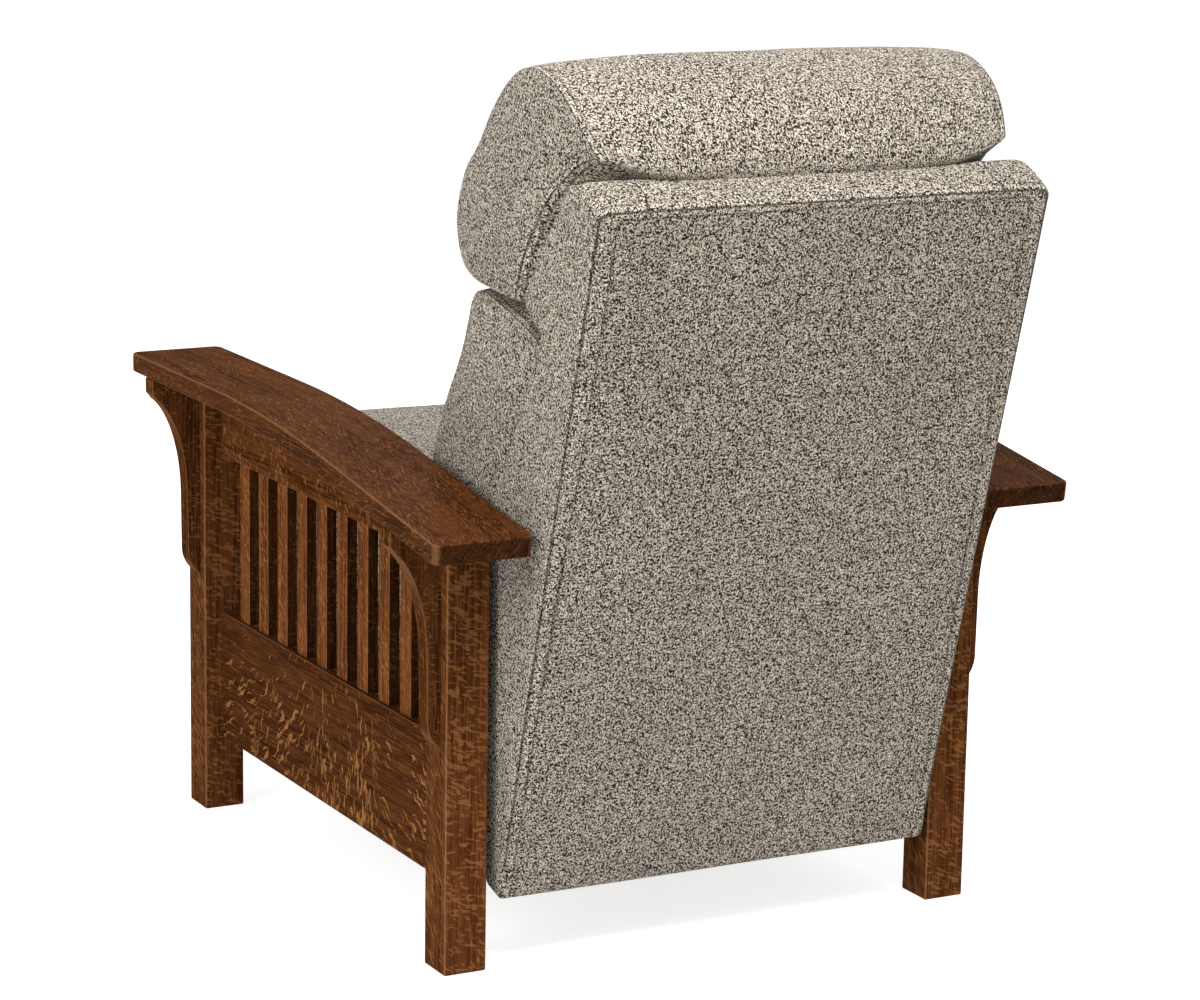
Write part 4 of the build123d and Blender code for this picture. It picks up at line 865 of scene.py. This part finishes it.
OAK_POSTS = ("left_front_post", "right_front_post", "left_rear_post", "right_rear_post")
OAK_BOTTOM = ("left_bottom_rail", "right_bottom_rail")
OAK_TOP = ("left_top_rail", "right_top_rail")
OAK_SLATS = ("left_slats", "right_slats")
OAK_ARMS = ("left_arm", "right_arm")
OAK_CORBELS = ("left_corbels", "right_corbels")
PLAIN_WOOD = (
    "front_stretcher", "rear_stretcher", "seat_side_boards", "seat_front_board", "seat_rear_board",
    "footrest_board", "back_side_boards", "back_cross_rails",
)
BLACK_STEEL = (
    "base_plates", "front_carriers", "rear_carriers", "seat_plates", "drive_links", "cross_links",
    "lift_links", "footrest_brackets", "back_brackets", "stretcher_brackets",
)
BRIGHT_STEEL = (
    "frame_screws", "carrier_foot_pins", "seat_pivot_pins", "back_hinge_pins", "seat_bolts",
    "seat_plate_spacers", "drive_link_pins", "cross_link_pins", "lift_link_pins", "footrest_screws",
    "back_bracket_bolts",
)
WIRE = ("seat_springs", "back_springs", "seat_spring_clips", "back_spring_clips")


def set_finish(nodes, material):
    """Gives a material to CAD nodes."""
    for name in nodes:
        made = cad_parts[name]
        made.data.materials.clear()
        made.data.materials.append(material)


class RECLINER_OT_oak(bpy.types.Operator):
    """Finishes the oak side frames"""
    bl_idname = "recliner.oak"
    bl_label = "Oak side frames"

    def execute(self, context):
        finish = context.scene.recliner_oak
        # Lengths are in metres. Each lean is an angle, and where along the board it begins and ends
        rail = {
            "axes": "yzx", "move": (0, 0, -0.19), "wave": 0.018, "wide": 0.0043, "long": 0.03,
            "leans": ((-1.15, -0.6, -0.3), (-0.7, -0.35, -0.12), (0.0, -0.17, 0.08), (1.1, 0.03, 0.4)),
            "low": (0.02, 0.085), "level": 0.577, "soft": 0.035, "strength": 0.95, "wander": 0.01}
        upper = dict(
            rail, move=(0, 0, -0.5), leans=((0.3, 0, 0),), low=None, wide=0.003, long=0.009, level=0.58,
            strength=0.45)
        post = dict(
            rail, axes="zxy", move=(0, 0, 0), leans=((-0.35, 0, 0),), low=None, wave=0.009, wide=0.0034,
            long=0.013, level=0.5, soft=0.1, strength=0.34, wander=0.006)
        slat = dict(post, wide=0.003, long=0.008, level=0.54, strength=0.35, leans=((-0.2, 0, 0),))
        arm = dict(
            rail, axes="xyz", leans=((-0.16, 0, 0),), low=None, wave=0.006, wide=0.0017, long=0.014,
            level=0.6, soft=0.06, strength=0.4, wander=0.03)
        set_finish(OAK_POSTS, oak_material("oak_posts", "z", post, finish, tone=1.04, gloss=0.015))
        set_finish(OAK_BOTTOM, oak_material("oak_bottom_rails", "y", rail, finish, tone=0.83, gloss=0.01))
        set_finish(OAK_TOP, oak_material("oak_top_rails", "y", upper, finish))
        # The slats' sides between them are darkened as painted shade
        slats = oak_material("oak_slats", "z", slat, finish, tone=1.55, gloss=0.015, end_grain_and_shade_tone=0.3)
        set_finish(OAK_SLATS, slats)
        set_finish(OAK_ARMS, oak_material("oak_arms", "y", arm, finish, tone=0.74, gloss=0.035, end_grain_and_shade_tone=0.5))
        set_finish(OAK_CORBELS, oak_material("oak_corbels", "z", slat, finish, tone=0.85))
        return {"FINISHED"}


class RECLINER_OT_hardware(bpy.types.Operator):
    """Finishes the plain wood, the steel linkage and the springs"""
    bl_idname = "recliner.hardware"
    bl_label = "Frame boards and steel"

    def execute(self, context):
        wood = plain_material("plain_hardwood", (0.5, 0.36, 0.22), 0.6, grain=300.0, spread=0.18)
        set_finish(PLAIN_WOOD, wood)
        set_finish(BLACK_STEEL, plain_material("black_enamel", (0.03, 0.03, 0.032), 0.38))
        set_finish(BRIGHT_STEEL, plain_material("zinc_plate", (0.6, 0.61, 0.62), 0.32, metal=1.0))
        set_finish(WIRE, plain_material("spring_wire_dark", (0.2, 0.2, 0.21), 0.4, metal=1.0))
        return {"FINISHED"}


class RECLINER_OT_back_cover(bpy.types.Operator):
    """Makes the back's cover: the outside panel, the side bands and the crowned top band"""
    bl_idname = "recliner.back_cover"
    bl_label = "Back cover"

    def execute(self, context):
        # A block over the boards: even shares across and up, and forward by the depth at that height. A
        # sine of the way forward crowns its top, its top corners drop by the square of the way into
        # them, its rear panel sinks inside its edges, and its rear, sides and underside have slow waves.
        crown, corner, corner_drop, hollow = 14.0, 16.0, 5.0, 3.0
        shares, grids = box_shell((58, 86, 12))
        a, b, c = shares.T
        across = 2 * a - 1
        x = across * BACK_HALF
        u = b * BACK_TALL
        v = c * np.interp(u, *np.transpose(BACK_SIDE))
        u = u + b**24 * (crown * np.sin(c * math.pi / 2) ** 0.8)
        near_side = np.clip((np.abs(x) - (BACK_HALF - corner)) / corner, 0, 1)
        u = u - corner_drop * near_side**2 * np.clip((b - 0.96) / 0.04, 0, 1)
        flat = np.stack([x, u, v], -1)
        rear, top, bottom, side = c == 0, b == 1, b == 0, np.abs(across) > 0.999
        edge = np.clip(6 * (1 - np.abs(across)), 0, 1)
        sunk = hollow * edge * np.clip(b * 12, 0, 1) * np.clip((1 - b) * 9, 0, 1)
        v = np.where(rear, v - sunk + 0.8 * soft_noise(flat, 160.0, 7), v)
        x = x + np.sign(across) * side * (soft_noise(flat, 90.0, 11) + 0.4)
        u = u - bottom * (1.2 + 1.6 * soft_noise(flat, 70.0, 13))
        points = on_back(x, np.stack([v, u], -1))
        x_m, u_m, v_m = x * MM, u * MM, v * MM
        # Each side lies elsewhere in the weave, so that no two look alike
        pairs = (
            (v_m, u_m), (v_m + 1.3, u_m), (x_m, v_m + 2.1), (x_m, v_m + 3.3), (x_m, u_m), (x_m, u_m + 4.7),
        )
        # The rear panel's seams and stitched lines, then the hem, then the top band's bowed seams
        stitch, lip, hem_u, hem_reach = context.scene.recliner_tweed.stitch_in, 5.0, 24.0, 20.0
        inset_top, inset_less, bow_x, bow_deep = 27.0, 13.0, 235.0, 8.0
        inset = inset_top - inset_less * (1 - b)
        from_side, from_top = BACK_HALF - np.abs(x), np.abs(BACK_TALL - u)
        strip = np.maximum(np.minimum(from_side, lip), from_side + stitch - inset)
        seams = np.where(rear, np.minimum(strip, from_top), -v)
        hem = stitch + np.abs(u - hem_u)
        seams = np.where(rear & (hem - stitch < np.abs(seams - stitch)) & (hem < hem_reach), hem, seams)
        bow = np.abs(x) - bow_x + bow_deep * np.sin(math.pi * c)
        seams = np.where(top & ~rear, np.sign(bow) * np.minimum(v, np.abs(bow)), seams)
        seams = np.where(top & rear, 0.0, seams)
        made = wrapped_block("back_cover", points, grids, pairs, seams)
        nodes = ("outside_back", "back_side_bands", "back_top_band")
        finish_piece(made, "back", nodes)
        return {"FINISHED"}


class RECLINER_OT_head_pillow(bpy.types.Operator):
    """Makes the head pillow with its seamed end panels"""
    bl_idname = "recliner.head_pillow"
    bl_label = "Head pillow"

    def execute(self, context):
        shape = context.scene.recliner_cushions
        rear_inset, tuck_in, tuck_wide = 9.0, 12.0, 45.0
        profile, length = outline(PILLOW_OUTLINE, PILLOW_CORNER, PILLOW_SIZE, 150)
        from_rear = profile[:, 0] - PILLOW_CORNER[0]
        forward = from_rear / PILLOW_SIZE[0]
        tuck = near(np.hypot(from_rear, profile[:, 1] - PILLOW_TUCK_U), 0.0, tuck_wide)
        made = stuffed_roll(
            "head_pillow_cover", profile, length, PILLOW_HALF, on_back,
            stuffing(shape, shape.pillow_crown), seed=21,
            inset=rear_inset * (1 - forward) + tuck_in * tuck, sag=tuck_in * tuck, fold=PILLOW_FOLD)
        finish_piece(made, "back", ("head_pillow",))
        return {"FINISHED"}


class RECLINER_OT_lumbar(bpy.types.Operator):
    """Makes the lumbar cushion with its seamed end panels"""
    bl_idname = "recliner.lumbar"
    bl_label = "Lumbar cushion"

    def execute(self, context):
        shape = context.scene.recliner_cushions
        profile, length = outline(LUMBAR_OUTLINE, LUMBAR_CORNER, LUMBAR_SIZE, 150)
        made = stuffed_roll(
            "lumbar_cushion_cover", profile, length, CUSHION_HALF, on_back,
            stuffing(shape, shape.lumbar_crown), seed=31)
        finish_piece(made, "back", ("lumbar_cushion",))
        return {"FINISHED"}


class RECLINER_OT_seat(bpy.types.Operator):
    """Makes the seat cushion, its borders and its deck"""
    bl_idname = "recliner.seat"
    bl_label = "Seat cushion"

    def execute(self, context):
        shape = context.scene.recliner_cushions
        profile, length = outline(SEAT_OUTLINE, SEAT_CORNER, SEAT_SIZE, 200)
        made = stuffed_roll(
            "seat_cushion_cover", profile, length, CUSHION_HALF, on_side,
            stuffing(shape, shape.seat_crown), seed=41)
        finish_piece(made, "seat", ("seat_cushion",))
        low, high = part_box("seat_borders")
        border_x, border_thick = 280.3, 4
        for name, side in (("seat_border_right", -1), ("seat_border_left", 1)):
            faces = (border_x * side, border_x * side + border_thick * side)
            made = slab(
                name, (min(faces) * MM, low[1], low[2]), (max(faces) * MM, high[1], high[2]), (2, 60, 8))
            finish_piece(made, "seat", ("seat_borders",), levels=0)
        low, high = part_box("seat_deck")
        made = slab("seat_deck_cloth", low, high, (50, 54, 1))
        finish_piece(made, "seat", ("seat_deck",), slot="lining", levels=0)
        return {"FINISHED"}


class RECLINER_OT_footrest(bpy.types.Operator):
    """Makes the footrest pad"""
    bl_idname = "recliner.footrest"
    bl_label = "Footrest pad"

    def execute(self, context):
        profile, length = outline(PAD_OUTLINE, PAD_CORNER, PAD_SIZE, 96)
        made = stuffed_roll(
            "footrest_pad_cover", profile, length, PAD_HALF, on_side,
            Stuffing(crown=0.0, bulge=6.0, slack=0.8, swell=1.2), seed=51)
        finish_piece(made, "footrest", ("footrest_pad",))
        return {"FINISHED"}


class RECLINER_OT_inside_back(bpy.types.Operator):
    """Makes the wadding between the cushions and the back's springs"""
    bl_idname = "recliner.inside_back"
    bl_label = "Inside back"

    def execute(self, context):
        # A block whose front lies just behind the cushions: its depth is read between the levels
        rear_v, front_clear = 56.0, 1.0
        levels = np.array([404.0, 500.0, 613.0, 640.0, 668.0, 684.0, 700.0, 780.0, 872.0])
        fronts = np.array([178.0, 148.0, 115.0, 98.0, 98.0, 98.0, 160.0, 128.0, 86.0])
        shares, grids = box_shell((30, 40, 6))
        a, b, c = shares.T
        u = levels[0] + b * (levels[-1] - levels[0])
        front = np.interp(u, levels, fronts) - front_clear
        v = rear_v + c * (front - rear_v)
        x = (2 * a - 1) * INSIDE_HALF
        points = on_back(x, np.stack([v, u], -1))
        x, u, v = x * MM, u * MM, v * MM
        pairs = ((v, u), (v, u), (x, v), (x, v), (x, u), (x, u))
        made = wrapped_block("inside_back_cover", points, grids, pairs)
        finish_piece(made, "back", ("inside_back",), levels=0)
        return {"FINISHED"}


class RECLINER_PT_panel(bpy.types.Panel):
    """Lists the recliner's pieces"""
    bl_label = "Mission recliner"
    bl_idname = "RECLINER_PT_panel"
    bl_space_type = "VIEW_3D"
    bl_region_type = "UI"
    bl_category = "Recliner"

    def draw(self, context):
        for operator in OPERATORS:
            self.layout.operator(operator.bl_idname)


OPERATORS = (
    RECLINER_OT_studio, RECLINER_OT_oak, RECLINER_OT_hardware, RECLINER_OT_back_cover,
    RECLINER_OT_head_pillow, RECLINER_OT_lumbar, RECLINER_OT_seat, RECLINER_OT_footrest,
    RECLINER_OT_inside_back,
)
GROUPS = {
    "recliner_oak": OakFinish, "recliner_tweed": TweedFinish, "recliner_cushions": CushionShape,
    "recliner_studio": StudioSetup,
}


def register():
    for group in GROUPS.values():
        bpy.utils.register_class(group)
    for operator in OPERATORS:
        bpy.utils.register_class(operator)
    bpy.utils.register_class(RECLINER_PT_panel)
    for name, group in GROUPS.items():
        setattr(bpy.types.Scene, name, bpy.props.PointerProperty(type=group))


def unregister():
    for name in GROUPS:
        delattr(bpy.types.Scene, name)
    bpy.utils.unregister_class(RECLINER_PT_panel)
    for operator in reversed(OPERATORS):
        bpy.utils.unregister_class(operator)
    for group in reversed(list(GROUPS.values())):
        bpy.utils.unregister_class(group)


def main():
    """Makes the whole chair."""
    register()
    bpy.ops.recliner.studio()
    bpy.ops.recliner.oak()
    bpy.ops.recliner.hardware()
    bpy.ops.recliner.back_cover()
    bpy.ops.recliner.head_pillow()
    bpy.ops.recliner.lumbar()
    bpy.ops.recliner.seat()
    bpy.ops.recliner.footrest()
    bpy.ops.recliner.inside_back()


if __name__ == "__main__":
    main()
